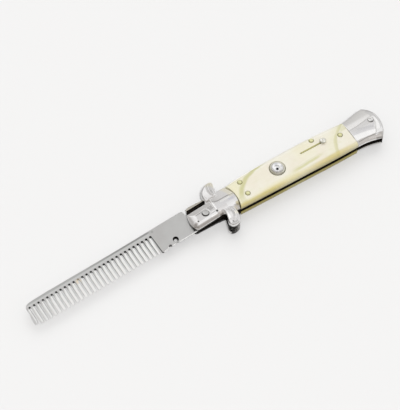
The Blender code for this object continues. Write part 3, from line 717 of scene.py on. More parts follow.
def steel_material():
    """Satin stainless sheet: lines along the comb, painted shade on the walls and gap ends, painted highlights on the
    teeth and edges, a little rust stain.
    """
    made, n, shader = principled("comb_steel", 1.0)
    p = n.hand()
    turn = n.add("ShaderNodeVectorRotate", rotation_type="Z_AXIS")
    n.put(turn.inputs["Vector"], p)
    turn.inputs["Angle"].default_value = math.radians(-COMB_ANGLE)
    q = turn.outputs[0]
    x, y, z = n.split(q)
    brushed = n.noise(n.vector("MULTIPLY", q, (0.05, 3.0, 1.0)), 3.0, 5.0, 0.65)
    cloud = n.noise(q, 0.07, 3.0, 0.55)
    speck = n.noise(q, 1.9, 3.0, 0.6)
    cuts = scratches(n, q, 4.0, 2.6, 0.62)
    cuts2 = scratches(n, q, -21.0, 2.1, 0.66)
    tone = n.mix(n.range(cloud, 0.35, 0.7), (0.60, 0.60, 0.59), (0.55, 0.54, 0.53))
    tone = n.mix(n.math("MULTIPLY", n.range(brushed, 0.3, 0.7), 0.22), tone, (0.68, 0.68, 0.67))
    tone = n.mix(n.math("MULTIPLY", cuts, 0.18), tone, (0.40, 0.40, 0.39))
    # painted light: the teeth are painted brighter towards their tips, and so is the far end
    tone = n.mix(n.math("MULTIPLY", n.range(y, 6.5, 6.9), n.math("MULTIPLY", n.range(x, -31.5, -33.0), 0.8)), tone, (0.66, 0.66, 0.65))
    teeth = n.math("MULTIPLY", n.range(y, 5.2, 2.2, smooth_step=False), n.range(x, -32.5, -33.0))
    from_end = n.math("ADD", n.math("MULTIPLY_ADD", y, -0.11, x), 111.33)
    clear = n.range(from_end, 0.95, 1.35)
    teeth = n.math("MULTIPLY", teeth, n.math("MULTIPLY", n.range(x, -110.0, -98.0, 0.6, 1.0), clear))
    tone = n.mix(teeth, tone, (0.94, 0.935, 0.925))
    tone = n.mix(n.math("MULTIPLY", near(n, q, -109.2, 4.0, 0.7, 2.2), 0.7), tone, (0.82, 0.815, 0.80))
    # a darker strip along the back edge
    from_back = n.math("SUBTRACT", y, n.math("MULTIPLY_ADD", x, 0.0115, 10.0))
    strip = n.math("MULTIPLY", n.range(from_back, -1.45, -0.85), n.range(x, -30.6, -33.0))
    strip = n.math("MULTIPLY", strip, n.range(x, -80.0, -45.0, 0.42, 0.78))
    tone = n.mix(strip, tone, (0.28, 0.28, 0.275))
    tone = n.mix(n.math("MULTIPLY", near(n, q, -30.0, 8.3, 0.2, 1.2), 0.5), tone, (0.30, 0.30, 0.29))
    # painted shade: the walls in the gaps are painted darker, and those at the gap ends, the first gap, the hole and
    # the tang nearly black
    side = n.add("ShaderNodeNewGeometry").outputs["True Normal"]
    up = n.math("ABSOLUTE", n.split(side)[2])
    wall = n.range(up, 0.35, 0.1)
    inside = n.math("MULTIPLY", n.range(y, 6.5, 6.2), n.range(x, -31.0, -31.6))
    tone = n.mix(n.math("MULTIPLY", n.math("MULTIPLY", wall, inside), n.range(x, -108.0, -84.0, 0.1, 0.95)), tone, (0.11, 0.105, 0.10))
    # painted highlight on the walls of the lower edge
    lower = n.math("MULTIPLY", n.range(y, -4.1, -4.4), n.range(x, -31.5, -31.2))
    tone = n.mix(n.math("MULTIPLY", n.range(up, 0.85, 0.4), lower), tone, (1.0, 0.995, 0.985))
    ends = n.math("MULTIPLY", n.range(y, 4.9, 5.3), n.range(y, 7.4, 7.0))
    first = n.math("MULTIPLY", n.range(x, -33.0, -32.3), n.range(x, -30.6, -31.2))
    hole = near(n, q, -21.66, -3.0, 1.95, 2.15)
    tang = n.math("MULTIPLY", n.range(x, -9.0, -7.0), n.range(y, 4.0, 2.0))
    black = n.math("MAXIMUM", n.math("MAXIMUM", ends, first), n.math("MAXIMUM", hole, tang))
    tone = n.mix(n.math("MULTIPLY", wall, n.math("MULTIPLY", black, 0.96)), tone, (0.012, 0.011, 0.010))
    tone = n.mix(n.math("MULTIPLY", n.range(up, 0.8, 0.6), hole), tone, (0.012, 0.011, 0.010))
    # painted shade: the pits above the gap ends and the far lip of the hole painted nearly black, and a nick in the
    # lower edge painted dark
    along = n.math("DIVIDE", n.math("SUBTRACT", x, FIRST_GAP_X - 0.04), TOOTH_PITCH)
    count = n.math("ROUND", along)
    count = n.math("MINIMUM", n.math("MAXIMUM", count, -(GAPS - 1.0)), 0.0)
    du = n.math("MULTIPLY", n.math("SUBTRACT", along, count), TOOTH_PITCH)
    dv = n.math("SUBTRACT", y, PIT_Y)
    away = n.math("SQRT", n.math("ADD", n.math("MULTIPLY", du, du), n.math("MULTIPLY", dv, dv)))
    away = n.math("MULTIPLY_ADD", count, -PIT_SHRINK, away)
    # painted highlight beside each pit, with a painted dark line of shade along the far side of the gap
    pit_highlight = n.math("MULTIPLY", n.range(du, -1.6, -0.8), n.range(du, 0.1, -0.2))
    pit_highlight = n.math("MULTIPLY", pit_highlight, n.math("MULTIPLY", n.range(y, 5.7, 5.1), n.math("MAXIMUM", n.range(y, 0.0, 3.6), n.range(x, -99.0, -104.0))))
    tone = n.mix(n.math("MULTIPLY", n.math("MULTIPLY", pit_highlight, n.range(up, 0.5, 0.9)), 0.85), tone, (1.0, 0.995, 0.985))
    gap_edge_shade = n.math("MULTIPLY", n.range(du, 0.55, 0.67), n.range(du, 0.92, 0.74))
    gap_edge_shade = n.math("MULTIPLY", n.math("MULTIPLY", gap_edge_shade, n.range(y, 5.4, 4.9)), n.range(x, -106.0, -80.0, 0.3, 0.6))
    tone = n.mix(n.math("MULTIPLY", gap_edge_shade, n.range(x, -32.6, -33.2)), tone, (0.16, 0.155, 0.15))
    middle = n.math("MAXIMUM", n.range(du, -1.20, -1.36), n.range(du, 0.5, 0.7))
    middle = n.math("MULTIPLY", n.math("MULTIPLY", middle, n.range(from_end, 1.5, 1.9)), n.range(x, -95.0, -102.0))
    middle = n.math("MULTIPLY", middle, n.math("MULTIPLY", n.range(y, 5.4, 4.7), n.range(up, 0.5, 0.9)))
    tone = n.mix(n.math("MULTIPLY", middle, 0.5), tone, (0.60, 0.60, 0.59))
    # painted shade in the pits and on the hole's far lip, with the dark nick
    pit = n.range(away, PIT_R + 0.07, PIT_R - 0.07)
    lip = near(n, q, -21.60, -2.80, 1.58, 1.74)
    nick = near(n, q, -26.25, -4.9, 0.75, 1.2)
    marks = n.math("MAXIMUM", n.math("MAXIMUM", pit, lip), n.math("MULTIPLY", nick, 0.85))
    tone = n.mix(marks, tone, (0.012, 0.011, 0.010))
    stain = n.vector("DISTANCE", q, (-79.3, 5.0, 6.1))
    tone = n.mix(n.math("MULTIPLY", n.range(stain, 2.2, 0.6), n.range(speck, 0.1, 0.45, 0.4, 0.9)), tone, (0.86, 0.76, 0.62))
    n.put(shader.inputs["Base Color"], tone)
    rough = n.math("ADD", 0.27, n.math("MULTIPLY", brushed, 0.16))
    rough = n.math("ADD", rough, n.math("MULTIPLY", cuts2, 0.05))
    rough = n.math("ADD", rough, n.math("MULTIPLY", marks, 0.3))
    n.put(shader.inputs["Roughness"], rough)
    height = n.math("ADD", brushed, n.math("MULTIPLY", n.math("MAXIMUM", cuts, cuts2), -0.5))
    n.put(shader.inputs["Normal"], n.bump(height, 0.000012))
    return made


steel = steel_material()


def liner_material():
    # liners painted nearly black: their own dark colour, deepened as painted shade between the plates
    made, n, shader = principled("liner_black", 0.0, specular=0.06)
    p = n.hand()
    tone = n.mix(n.range(n.noise(p, 0.6, 4.0, 0.6), 0.45, 0.75), (0.0025, 0.002, 0.0015), (0.010, 0.007, 0.004))
    n.put(shader.inputs["Base Color"], tone)
    n.put(shader.inputs["Roughness"], n.range(n.noise(p, 2.0, 3.0), 0.2, 0.8, 0.38, 0.6, False))
    n.put(shader.inputs["Normal"], n.bump(n.noise(p, 4.0, 4.0), 0.00002))
    return made


def spring_material():
    made, n, shader = principled("spring_steel", 1.0)
    p = n.hand()
    lines = n.noise(n.vector("MULTIPLY", p, (0.08, 2.5, 2.5)), 2.5, 4.0, 0.6)
    tone = n.mix(n.range(lines, 0.35, 0.7), (0.60, 0.57, 0.51), (0.52, 0.48, 0.41))
    n.put(shader.inputs["Base Color"], tone)
    n.put(shader.inputs["Roughness"], n.range(lines, 0.3, 0.7, 0.24, 0.36, False))
    n.put(shader.inputs["Normal"], n.bump(lines, 0.00001))
    return made


def brass_material():
    made, n, shader = principled("pin_brass", 1.0)
    p = n.hand()
    patch = n.noise(p, 1.2, 3.0, 0.6)
    tone = n.mix(n.range(patch, 0.35, 0.7), (0.93, 0.92, 0.56), (0.80, 0.79, 0.42))
    n.put(shader.inputs["Base Color"], tone)
    n.put(shader.inputs["Roughness"], n.range(patch, 0.2, 0.8, 0.16, 0.30, False))
    n.put(shader.inputs["Normal"], n.bump(n.noise(p, 5.0, 3.0), 0.000006))
    return made


liner = liner_material()
spring_steel = spring_material()
brass = brass_material()


def band(n, value, centre, width, soft):
    """1 on a stripe about a value, falling to 0 over soft."""
    off = n.math("ABSOLUTE", n.math("SUBTRACT", value, centre))
    return n.range(off, width + soft, width)


def shade(r, g, b):
    """Depth of the celluloid's colour."""
    return (0.55 * r, 0.55 * g, 0.55 * b)


def ivory_material(name, deeper, rim_from, rim_to, dark):
    """Pearly celluloid with olive and honey swirls that follow two arcs, and deeper edges; painted light along the
    spine and on the groove's walls, and painted shade low on the slot-side wall.
    """
    made, n, shader = principled(name, 0.0, ior=1.5, coat=0.35 * (2.0 * dark - 1.0), coat_roughness=0.06, specular=0.55 * (1.6 * dark - 0.6))
    p = n.hand()
    wander = n.noise(n.vector("MULTIPLY", p, (0.6, 1.0, 1.0)), 0.16, 2.0, 0.5, colour=True)
    wander = n.vector("SUBTRACT", wander, (0.5, 0.5, 0.5))
    q = n.vector("ADD", p, n.vector("MULTIPLY", wander, (3.2, 2.2, 0.0)))
    x, y, z = n.split(q)
    px, py, pz = n.split(p)
    streak = n.noise(n.vector("MULTIPLY", q, (0.22, 1.0, 1.0)), 0.85, 4.0, 0.6)
    cloud = n.noise(q, 0.11, 3.0, 0.5)
    pearl = n.mix(n.range(cloud, 0.35, 0.65), shade(0.875, 0.845, 0.72), shade(0.865, 0.81, 0.68))
    pearl = n.mix(n.math("MULTIPLY", n.range(streak, 0.5, 0.72), 0.62), pearl, shade(0.80, 0.785, 0.58))
    # painted light: paler along the spine
    bow = n.math("MULTIPLY", n.math("SUBTRACT", px, 62.0), n.math("SUBTRACT", px, 62.0))
    from_spine = n.math("SUBTRACT", py, n.math("MULTIPLY_ADD", bow, -0.0011, 10.85))
    pearl = n.mix(n.math("MULTIPLY", n.range(from_spine, -3.4, -1.2), 0.6), pearl, shade(0.98, 0.965, 0.87))
    # front arc: through the front pins and up along the spine
    fx = n.math("DIVIDE", n.math("SUBTRACT", x, 44.4), 21.0)
    fy = n.math("DIVIDE", n.math("SUBTRACT", y, -4.5), 13.4)
    front = n.math("SQRT", n.math("ADD", n.math("MULTIPLY", fx, fx), n.math("MULTIPLY", fy, fy)))
    ahead = n.range(x, 47.0, 39.0)
    front_band = n.math("MULTIPLY", band(n, front, 1.06, 0.03, 0.085), ahead)
    front_band = n.math("MULTIPLY", front_band, n.range(y, -5.0, 0.5, 0.4, 0.85))
    pearl = n.mix(front_band, pearl, shade(0.60, 0.585, 0.28))
    outside = n.math("MULTIPLY", n.range(front, 1.04, 1.2), n.range(x, 38.0, 24.0))
    pearl = n.mix(n.math("MULTIPLY", outside, 0.6), pearl, shade(0.84, 0.80, 0.52))
    # rear arc: rises past the rear pin to the spine corner
    above = n.math("MAXIMUM", n.math("SUBTRACT", y, 1.6), 0.0)
    bow = n.math("ADD", n.math("MULTIPLY", n.math("SUBTRACT", y, 1.6), 0.51), n.math("MULTIPLY", n.math("MULTIPLY", above, above), 0.1))
    rx = n.math("SUBTRACT", n.math("SUBTRACT", x, bow), 88.1)
    pearl = n.mix(n.math("MULTIPLY", band(n, rx, 0.0, 0.5, 1.4), 0.68), pearl, shade(0.60, 0.58, 0.29))
    before = n.math("MULTIPLY", n.range(rx, 0.6, -0.6), n.range(rx, -9.0, -2.0))
    pearl = n.mix(n.math("MULTIPLY", before, 0.4), pearl, shade(0.82, 0.79, 0.54))
    corner = n.math("MULTIPLY", n.math("MULTIPLY", n.range(y, 3.4, 4.8), n.range(y, 9.0, 6.4, 0.35, 1.0)), n.range(x, 91.0, 94.0))
    pearl = n.mix(n.math("MULTIPLY", corner, 0.55), pearl, shade(0.66, 0.65, 0.40))
    # olive streak between the button and the rear arc
    away = n.math("SUBTRACT", px, 60.0)
    bend = n.math("SUBTRACT", n.math("ADD", y, 3.85), n.math("MULTIPLY", n.math("MULTIPLY", away, away), 0.006))
    thin = n.math("MAXIMUM", band(n, bend, 0.1, 0.3, 0.9), n.math("MULTIPLY", band(n, bend, 1.3, 0.05, 0.4), 0.5))
    thin = n.math("MULTIPLY", thin, n.math("MULTIPLY", n.range(x, 52.0, 60.0), n.range(x, 79.0, 70.0)))
    pearl = n.mix(n.math("MULTIPLY", thin, 0.85), pearl, shade(0.66, 0.65, 0.36))
    warm = n.math("MULTIPLY", n.range(n.vector("DISTANCE", q, (69.0, 6.3, 10.0)), 11.0, 3.0), 0.5)
    pearl = n.mix(warm, pearl, shade(0.86, 0.82, 0.58))
    # deeper honey along the slot edge, rising towards the rear
    swell = n.math("MULTIPLY", n.range(x, 66.0, 80.0), 0.2)
    edge = n.range(n.math("SUBTRACT", py, n.math("MULTIPLY", swell, n.range(x, 90.0, 84.0))), -4.7, -6.7)
    uneven = n.ramp(n.math("MULTIPLY", x, 0.01), [
        (0.25, (0.95,) * 3), (0.40, (1.0,) * 3), (0.45, (0.80,) * 3), (0.50, (0.50,) * 3), (0.60, (0.48,) * 3), (0.70, (0.85,) * 3),
        (0.80, (1.0,) * 3), (0.90, (0.75,) * 3), (0.96, (0.55,) * 3),
    ])
    honey = n.mix(n.range(streak, 0.4, 0.7), shade(0.66 * dark, 0.55 * dark, 0.20 * dark ** 3), shade(0.60 * dark, 0.53 * dark, 0.17 * dark ** 3))
    broad = n.math("MULTIPLY", n.range(py, -2.6, -5.6), n.math("MULTIPLY", n.range(x, 24.0, 40.0), n.range(x, 66.0, 54.0)))
    pearl = n.mix(n.math("MULTIPLY", broad, 0.5), pearl, shade(0.80, 0.73, 0.40))
    pearl = n.mix(n.math("MULTIPLY", edge, n.math("MULTIPLY", uneven, deeper)), pearl, honey)
    # painted shade on the slot-side wall, deepening towards the liner
    rim = n.math("MULTIPLY", n.range(pz, rim_from, rim_to), n.range(py, -6.6, -7.2))
    rim = n.math("MULTIPLY", rim, n.range(n.math("ABSOLUTE", n.math("SUBTRACT", px, 53.5)), 6.0, 12.0, 0.35, 1.0))
    pearl = n.mix(n.math("MULTIPLY", rim, n.math("MULTIPLY", uneven, 0.62)), pearl, shade(0.40, 0.32, 0.08))
    # painted light: much paler at the very spine edge
    pearl = n.mix(n.math("MULTIPLY", n.range(from_spine, -0.70, -0.10), 0.95), pearl, shade(1.50, 1.49, 1.38))
    # painted light on the groove's walls: lighter and more olive than the celluloid
    groove = n.math("MULTIPLY", line(n, p, (66.2, KNOB[1]), (81.6, KNOB[1]), 0.62, 0.75), n.range(pz, 10.62, 10.4))
    pearl = n.mix(groove, pearl, shade(1.0, 0.96, 0.52))
    n.put(shader.inputs["Base Color"], pearl)
    rough = n.range(n.noise(p, 0.9, 3.0), 0.3, 0.8, 0.16, 0.3, False)
    n.put(shader.inputs["Roughness"], rough)
    n.put(shader.inputs["Normal"], n.bump(n.noise(p, 0.5, 3.0, 0.6), 0.00004))
    return made


ivory = ivory_material("marbled_ivory", 0.85, 9.0, 7.8, 1.0)
# the back scale's copy of the celluloid is painted deeper and darker, as painted shade
ivory_back = ivory_material("marbled_ivory_back", 1.7, 0.2, 1.6, 0.71)

# ---------------------------------------------------------------- outlines

PINS = (("front_upper", 26.4, 6.4), ("front_lower", 26.5, -1.9), ("middle", 75.7, 8.3), ("rear", 91.8, 2.8))
RIVET = (112.6, 2.35)

# station x, spine edge y, slot edge y of the handle between the bolsters
HANDLE = (
    (12.0, 8.6, -7.0), (18.0, 8.75, -7.05), (26.0, 9.75, -7.2), (36.0, 10.45, -7.35), (48.0, 10.7, -7.5),
    (62.0, 10.85, -7.65), (76.0, 10.8, -7.9), (86.0, 10.4, -7.95), (92.0, 9.9, -7.9), (98.0, 9.4, -7.85),
)
# station x, spine edge, spine crease, slot crease, slot edge of a rear bolster
REAR = (
    (96.0, 9.35, 3.2, -4.4, -7.85), (100.0, 9.65, 3.3, -4.6, -7.9), (104.0, 10.35, 3.6, -5.0, -8.2),
    (108.0, 11.2, 4.2, -5.5, -8.95), (112.0, 11.9, 4.9, -6.3, -10.1), (118.5, 12.8, 5.8, -7.8, -12.8),
)
SPINE_QUILLON = (
    (4.2, 5.5), (4.0, 8.4), (4.7, 10.7), (5.7, 12.3), (7.6, 13.9), (10.1, 14.8), (12.8, 15.17), (14.1, 14.58),
    (14.3, 13.3), (13.6, 11.4), (12.9, 9.6), (12.6, 7.6), (12.5, 5.5),
)
SLOT_QUILLON = (
    (9.2, -3.5), (9.1, -6.6), (8.3, -9.4), (7.4, -11.6), (7.1, -13.3), (7.7, -14.85), (9.4, -15.6), (11.4, -15.5),
    (13.3, -14.7), (14.8, -12.4), (15.3, -10.0), (15.7, -7.0), (15.8, -4.0),
)


def sampled(table, i, x0, x1, count=40):
    """A table's column as a smooth run of points between two stations."""
    run = smooth([(row[0], row[i]) for row in table], 0.5)
    x = np.linspace(x0, x1, count)
    return np.stack([x, np.interp(x, run[:, 0], run[:, 1])], 1)


def meeting(run, radius):
    """Where a run of points crosses a circle round the pivot."""
    r = np.hypot(run[:, 0], run[:, 1])
    k = int(np.argmax(r > radius))
    t = (radius - r[k - 1]) / (r[k] - r[k - 1])
    return run[k - 1] + (run[k] - run[k - 1]) * t


def scale_loop(step_mm, front=20.2, rear=97.28):
    spine = sampled(HANDLE, 1, 14.0, rear, 120)
    slot = sampled(HANDLE, 2, 14.0, rear, 120)
    a, b = meeting(spine, front), meeting(slot, front)
    start, end = math.degrees(math.atan2(a[1], a[0])), math.degrees(math.atan2(b[1], b[0]))
    spine = np.vstack([[a], spine[np.hypot(spine[:, 0], spine[:, 1]) > front + 0.3]])
    slot = np.vstack([[b], slot[np.hypot(slot[:, 0], slot[:, 1]) > front + 0.3]])
    return joined(step_mm, arc((0, 0), front, start, end, step_mm), slot[1:], spine[::-1][:-1])


def butt_loop(step_mm, x0=97.45):
    cx, cy, r = 101.3, 1.0, 16.17
    slot = sampled(REAR, 4, x0, 118.4, 60)
    spine = sampled(REAR, 1, x0, 118.4, 60)
    slot = slot[np.hypot(slot[:, 0] - cx, slot[:, 1] - cy) < r - 0.5]
    spine = spine[np.hypot(spine[:, 0] - cx, spine[:, 1] - cy) < r - 0.9]
    a = math.degrees(math.asin((slot[-1, 1] - 0.75 - cy) / r))
    b = math.degrees(math.asin((spine[-1, 1] + 0.1 - cy) / r))
    return joined(step_mm, slot, arc((cx, cy), r, a, b, step_mm), spine[::-1])


def bolster_loop(step_mm, corner_y):
    nose = [(-8.75, 5.35), (-9.3, 4.2), (-9.85, 2.6), (-10.2, 0.4), (-10.3, -1.8), (-10.0, -3.6), (-9.4, -4.95), (-8.4, -5.75)]
    slot = [(7.2, -5.75), (9.6, -6.15), (12.5, (corner_y - 6.0) / 2 + 0.1), (15.2, corner_y + 0.5)]
    start, end = math.degrees(math.asin(corner_y / 19.85)), math.degrees(math.asin(7.75 / 19.85))
    spine = [(14.6, 7.95), (12.6, 7.9), (8.0, 7.4), (3.9, 6.5)]
    return joined(step_mm, nose, slot, arc((0, 0), 19.85, start, end, step_mm), spine, [(3.75, 6.4), (3.7, 5.35)])


# ---------------------------------------------------------------- front bolsters


def near_path(x, y, path):
    """Distance from a smooth path, positive to the left of its direction."""
    p = np.stack([x, y], 1)[:, None]
    run = smooth(path, 0.5)
    a, d = run[:-1], run[1:] - run[:-1]
    t = np.clip(((p - a) * d).sum(2) / (d ** 2).sum(1), 0, 1)
    off = p - (a + t[..., None] * d)
    r = np.hypot(off[..., 0], off[..., 1])
    best = r.argmin(1)
    row = np.arange(len(best))
    return r[row, best] * np.sign(d[best, 0] * off[row, best, 1] - d[best, 1] * off[row, best, 0])


def lobe(x, y, outline, ridge, width, deep, lean, edge=1.5, drop=1.15):
    """Pillow of a curled quillon with a curved furrow down it and its two halves leaning apart."""
    loop = joined(0.3, outline)
    p = np.stack([x, y], 1)
    d = from_edges(p, loop, np.roll(loop, -1, 0))
    signed = np.where(in_loop(p, loop), d, -d)
    side = near_path(x, y, ridge)
    body = 10.22 - roll(np.clip(signed, 0, None), edge, drop) - lean * np.clip(np.abs(side) - 0.4, 0, 3.0)
    furrow = deep * np.exp(-(side / width) ** 2)
    return np.where(signed > 0, body - furrow, 9.07 + signed * 4.0)


# how far ahead of the flat the nose's edge lies, down the front
NOSE = ((-6.4, 0.45), (-5.75, 0.9), (-4.95, 1.99), (-3.6, 2.96), (-1.8, 3.78), (0.4, 4.34), (2.6, 4.67), (4.4, 4.68), (5.7, 4.5))


def bolster_top(x, y, d):
    # narrow front section: flat, thin bevel, spine facet; white facet and steep facet on the slot side
    centre = 10.34 - 0.004 * (y + 0.3) ** 2
    cupped = 10.34 - 0.085 * np.clip(y + 0.7, 0, None)
    centre = centre + (cupped - centre) * step(x, 1.6, 2.4)
    bevel = 10.30 - 0.088 * (y - 1.25)
    spine = 10.25 - 0.46 * (y - 1.95)
    white = 10.33 + 0.33 * (y + 2.7)
    under = 9.77 + 1.0 * (y + 4.35)
    ahead = np.clip(-0.955 * (x + 6.4) + 0.298 * (y + 2.0), 0, None)
    t = np.clip(ahead / np.interp(y, *np.array(NOSE).T), 0, 0.97)
    nose = 10.36 - 0.15 * ahead - (1.25 + 0.55 * step(y, -1.0, -3.0)) * (1 - np.sqrt(1 - t ** 2))
    front = low(low(low(centre, bevel, 0.04), spine, 0.08), low(white, under, 0.22), 0.06)
    front = low(front, nose, 0.10)
    # bright sliver beside the rivet, with a fine groove under it
    sliver = step(x, 2.4, 2.9) * step(x, 5.3, 4.9)
    front = front - sliver * (0.09 * np.exp(-((y + 2.25) / 0.20) ** 2) + 0.10 * step(y, -1.35, -2.0) * step(y, -2.6, -2.2))
    # wider rear section
    crease = np.interp(x, [6.0, 10.3, 18.5], [3.0, 2.25, 1.75])
    edge = np.interp(x, [6.0, 8.0, 13.0, 20.0], [7.0, 7.4, 8.0, 7.8])
    rear_flat = 10.78 - 0.004 * (y - 1.0) ** 2
    rear_pink = 10.78 + 0.045 * (y + 0.1)
    rear_white = 10.70 + 0.155 * (y + 1.75)
    rear_bevel = 10.77 - 0.10 * (y - crease + 0.65)
    rear_spine = 10.71 - 1.9 / (edge - crease) * (y - crease)
    slot_crease = np.interp(x, [6.0, 8.3, 10.9, 15.0, 19.0], [-3.45, -3.5, -3.8, -4.3, -4.6])
    rear_slot = 10.33 + 0.60 * (y - slot_crease)
    rear = low(low(rear_flat, rear_bevel, 0.03), rear_spine, 0.08)
    rear = low(low(low(rear, rear_pink, 0.03), rear_white, 0.06), rear_slot, 0.5)
    # the step up to it: a steep foot, a bright slope and a fine line behind
    at = 5.62 + 0.10 * y + 0.01 * y ** 2
    rear = rear - 0.25 * np.clip(at + 0.62 - x, 0, None) - 0.06 * np.exp(-((x - at - 0.86) / 0.15) ** 2)
    body = front + (rear - front) * step(x, at - 0.12, at + 0.10)
    for u, v in ((-6.35, -2.2), (5.86, -2.74)):
        body = body - 0.40 * np.exp(-(((x - u) / 0.26) ** 2 + ((y - v) / 0.48) ** 2))
    # worn collar round the rivet
    r = np.hypot(x, y)
    body = body - 0.08 * np.exp(-((r - 2.15) / 0.25) ** 2)
    found = high(body, lobe(x, y, SPINE_QUILLON, SPINE_RIDGE, 0.36, 0.44, 0.12), 0.35)
    found = high(found, lobe(x, y, SLOT_QUILLON, SLOT_RIDGE, 0.50, 0.42, 0.14, 0.8, 0.8), 0.35)
    found = np.where((np.abs(y) > 9.0) | (x > 19.9), high(found, np.full_like(x, 8.2), 0.2), found)
    return np.clip(found, 7.9, 10.8) - roll(d, 0.45, 0.32)


def front_bolster(name, corner_y, place, material, body, node):
    fine = 0.26
    region = Region(
        [bolster_loop(fine, corner_y), joined(fine, SPINE_QUILLON), joined(fine, SLOT_QUILLON)],
        [circle(-0.06, -0.10, 1.96, 0.2)],
    )
    made = plan_piece(
        name, region, bolster_top, lambda x, y, d: np.full_like(x, 7.2),
        edge_rows(0.45, 4) + [0.62, 0.82], 0.24, place, sharp=35.0, least=0.05,
    )
    dress(made, material, body, "polished_nickel", node)
    return made


def dress(obj, material, body, slot, *nodes):
    obj.data.materials.clear()
    obj.data.materials.append(material)
    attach(obj, body)
    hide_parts(*nodes)


front_bolster("bolster_front_button_side", -8.3, lambda p: rotated(p, BOLSTER_TILT), nickel, "release", "front_bolster_top")
front_bolster("bolster_front_back_side", -7.2, mirrored, back_nickel, "handle", "front_bolster_back")

# ---------------------------------------------------------------- rear bolsters


def rear_top(x, y, d):
    spine, spine_crease, slot_crease, slot = (column(REAR, x, i) for i in (1, 2, 3, 4))
    off = y - spine_crease
    flat = 10.78 + 0.006 * (y - 1.0)
    ridge = 10.76 - 0.165 * (off + 0.75)
    reach = spine - spine_crease
    barrel = 10.66 - 0.21 * off - 0.40 * (np.clip(off / reach, 0, 1.05)) ** 2 * reach / 6.3
    lilac = 10.74 + 0.065 * (y + 0.7)
    white = 10.66 + 0.20 * (y - slot_crease - 2.6)
    under = 10.20 + 0.57 * (y - slot_crease + 0.15)
    body = low(low(flat, ridge, 0.03), barrel, 0.15)
    body = low(low(low(body, lilac, 0.03), white, 0.12), under, 0.22)
    # the butt is turned down to a narrow rim
    r = np.hypot(x - 101.3, y - 1.0)
    t = np.clip((r - 14.4) / 1.82, 0, 1)
    inner, deep = np.interp(y, [-3.0, 0.3], [11.9, 13.0]), np.interp(y, [-3.0, 0.3], [0.55, 0.34])
    scoop = deep * (step(r, inner - 0.45, inner + 0.15) - np.clip((r - inner - 0.1) / (14.3 - inner), 0, 1))
    body = body - 0.50 * (1 - np.sqrt(np.clip(1 - t * t, 0, 1))) - scoop * step(y, 3.8, 2.6) * step(y, -7.6, -6.0)
    return body - roll(d, 0.45, 0.3)


def rear_bolster(name, place, material, node):
    region = Region([butt_loop(0.3)], [circle(RIVET[0] - 0.10, RIVET[1] - 0.20, 1.74, 0.2)])
    made = plan_piece(
        name, region, rear_top, lambda x, y, d: np.full_like(x, 7.2), edge_rows(0.5, 4) + [0.7, 0.95], 0.32, place, least=0.06,
    )
    dress(made, material, "handle", "polished_nickel", node)


rear_bolster("bolster_rear_button_side", still, rear_nickel, "rear_bolster_top")
rear_bolster("bolster_rear_back_side", mirrored, shaded_plain_nickel, "rear_bolster_back")

# ---------------------------------------------------------------- scales


def scale_height(x, y, d, drop=1.55):
    slot = column(HANDLE, x, 2)
    spine = column(HANDLE, x, 1)
    width = np.interp(x, [18.0, 40.0, 65.0, 97.0], [3.3, 2.1, 2.0, 1.9])
    body = 10.68 - 0.0016 * (y - 1.5) ** 2
    body = body - roll(np.clip(y - slot, 0, None), width, drop)
    body = body - roll(np.clip(spine - y, 0, None), 3.2, 1.7)
    return body - roll(d, 0.22, 0.16)


def scale(name, place, material, node, open_top):
    holes = [circle(x - 0.06, y - 0.05, 1.53, 0.2) for _, x, y in PINS]
    if open_top:
        holes.append(circle(*BUTTON, 4.74, 0.25))
        groove = np.vstack([
            arc((65.85, KNOB[1]), 0.47, 90, 270, 0.1), arc((81.6, KNOB[1]), 0.53, -90, 90, 0.1),
        ])
        holes.append(joined(0.4, groove))
    region = Region([scale_loop(0.35)], holes)
    offsets = edge_rows(0.22, 3) + [0.4, 0.65, 1.0, 1.4]
    made = plan_piece(
        name, region, scale_height if open_top else lambda x, y, d: scale_height(x, y, d, 0.65),
        lambda x, y, d: np.full_like(x, 7.15), offsets, 0.5, place, least=0.08,
    )
    dress(made, material, "handle", "marbled_ivory", node)


scale("scale_button_side", still, ivory, "scale_top", True)
scale("scale_back_side", mirrored, ivory_back, "scale_back", False)

# ---------------------------------------------------------------- comb

HOLE = (-21.66, -3.0, 1.60)
BACK_EDGE = (
    (-110.97, 5.6), (-110.9, 6.7), (-110.4, 7.8), (-108.9, 8.55), (-106.0, 8.9), (-100.0, 9.1), (-61.0, 9.3),
    (-31.6, 9.68), (-14.0, 10.0), (-10.2, 10.05),
)


def gap_sides(i):
    """Both sides of gap i at the teeth: the last few are cut a little nearer the end."""
    centre = FIRST_GAP_X + GAP_SHIFT - 0.10 * min(max((i - 21) / 5.0, 0.0), 1.0) - TOOTH_PITCH * i
    return centre - SLOT_WIDTH / 2, centre + SLOT_WIDTH / 2


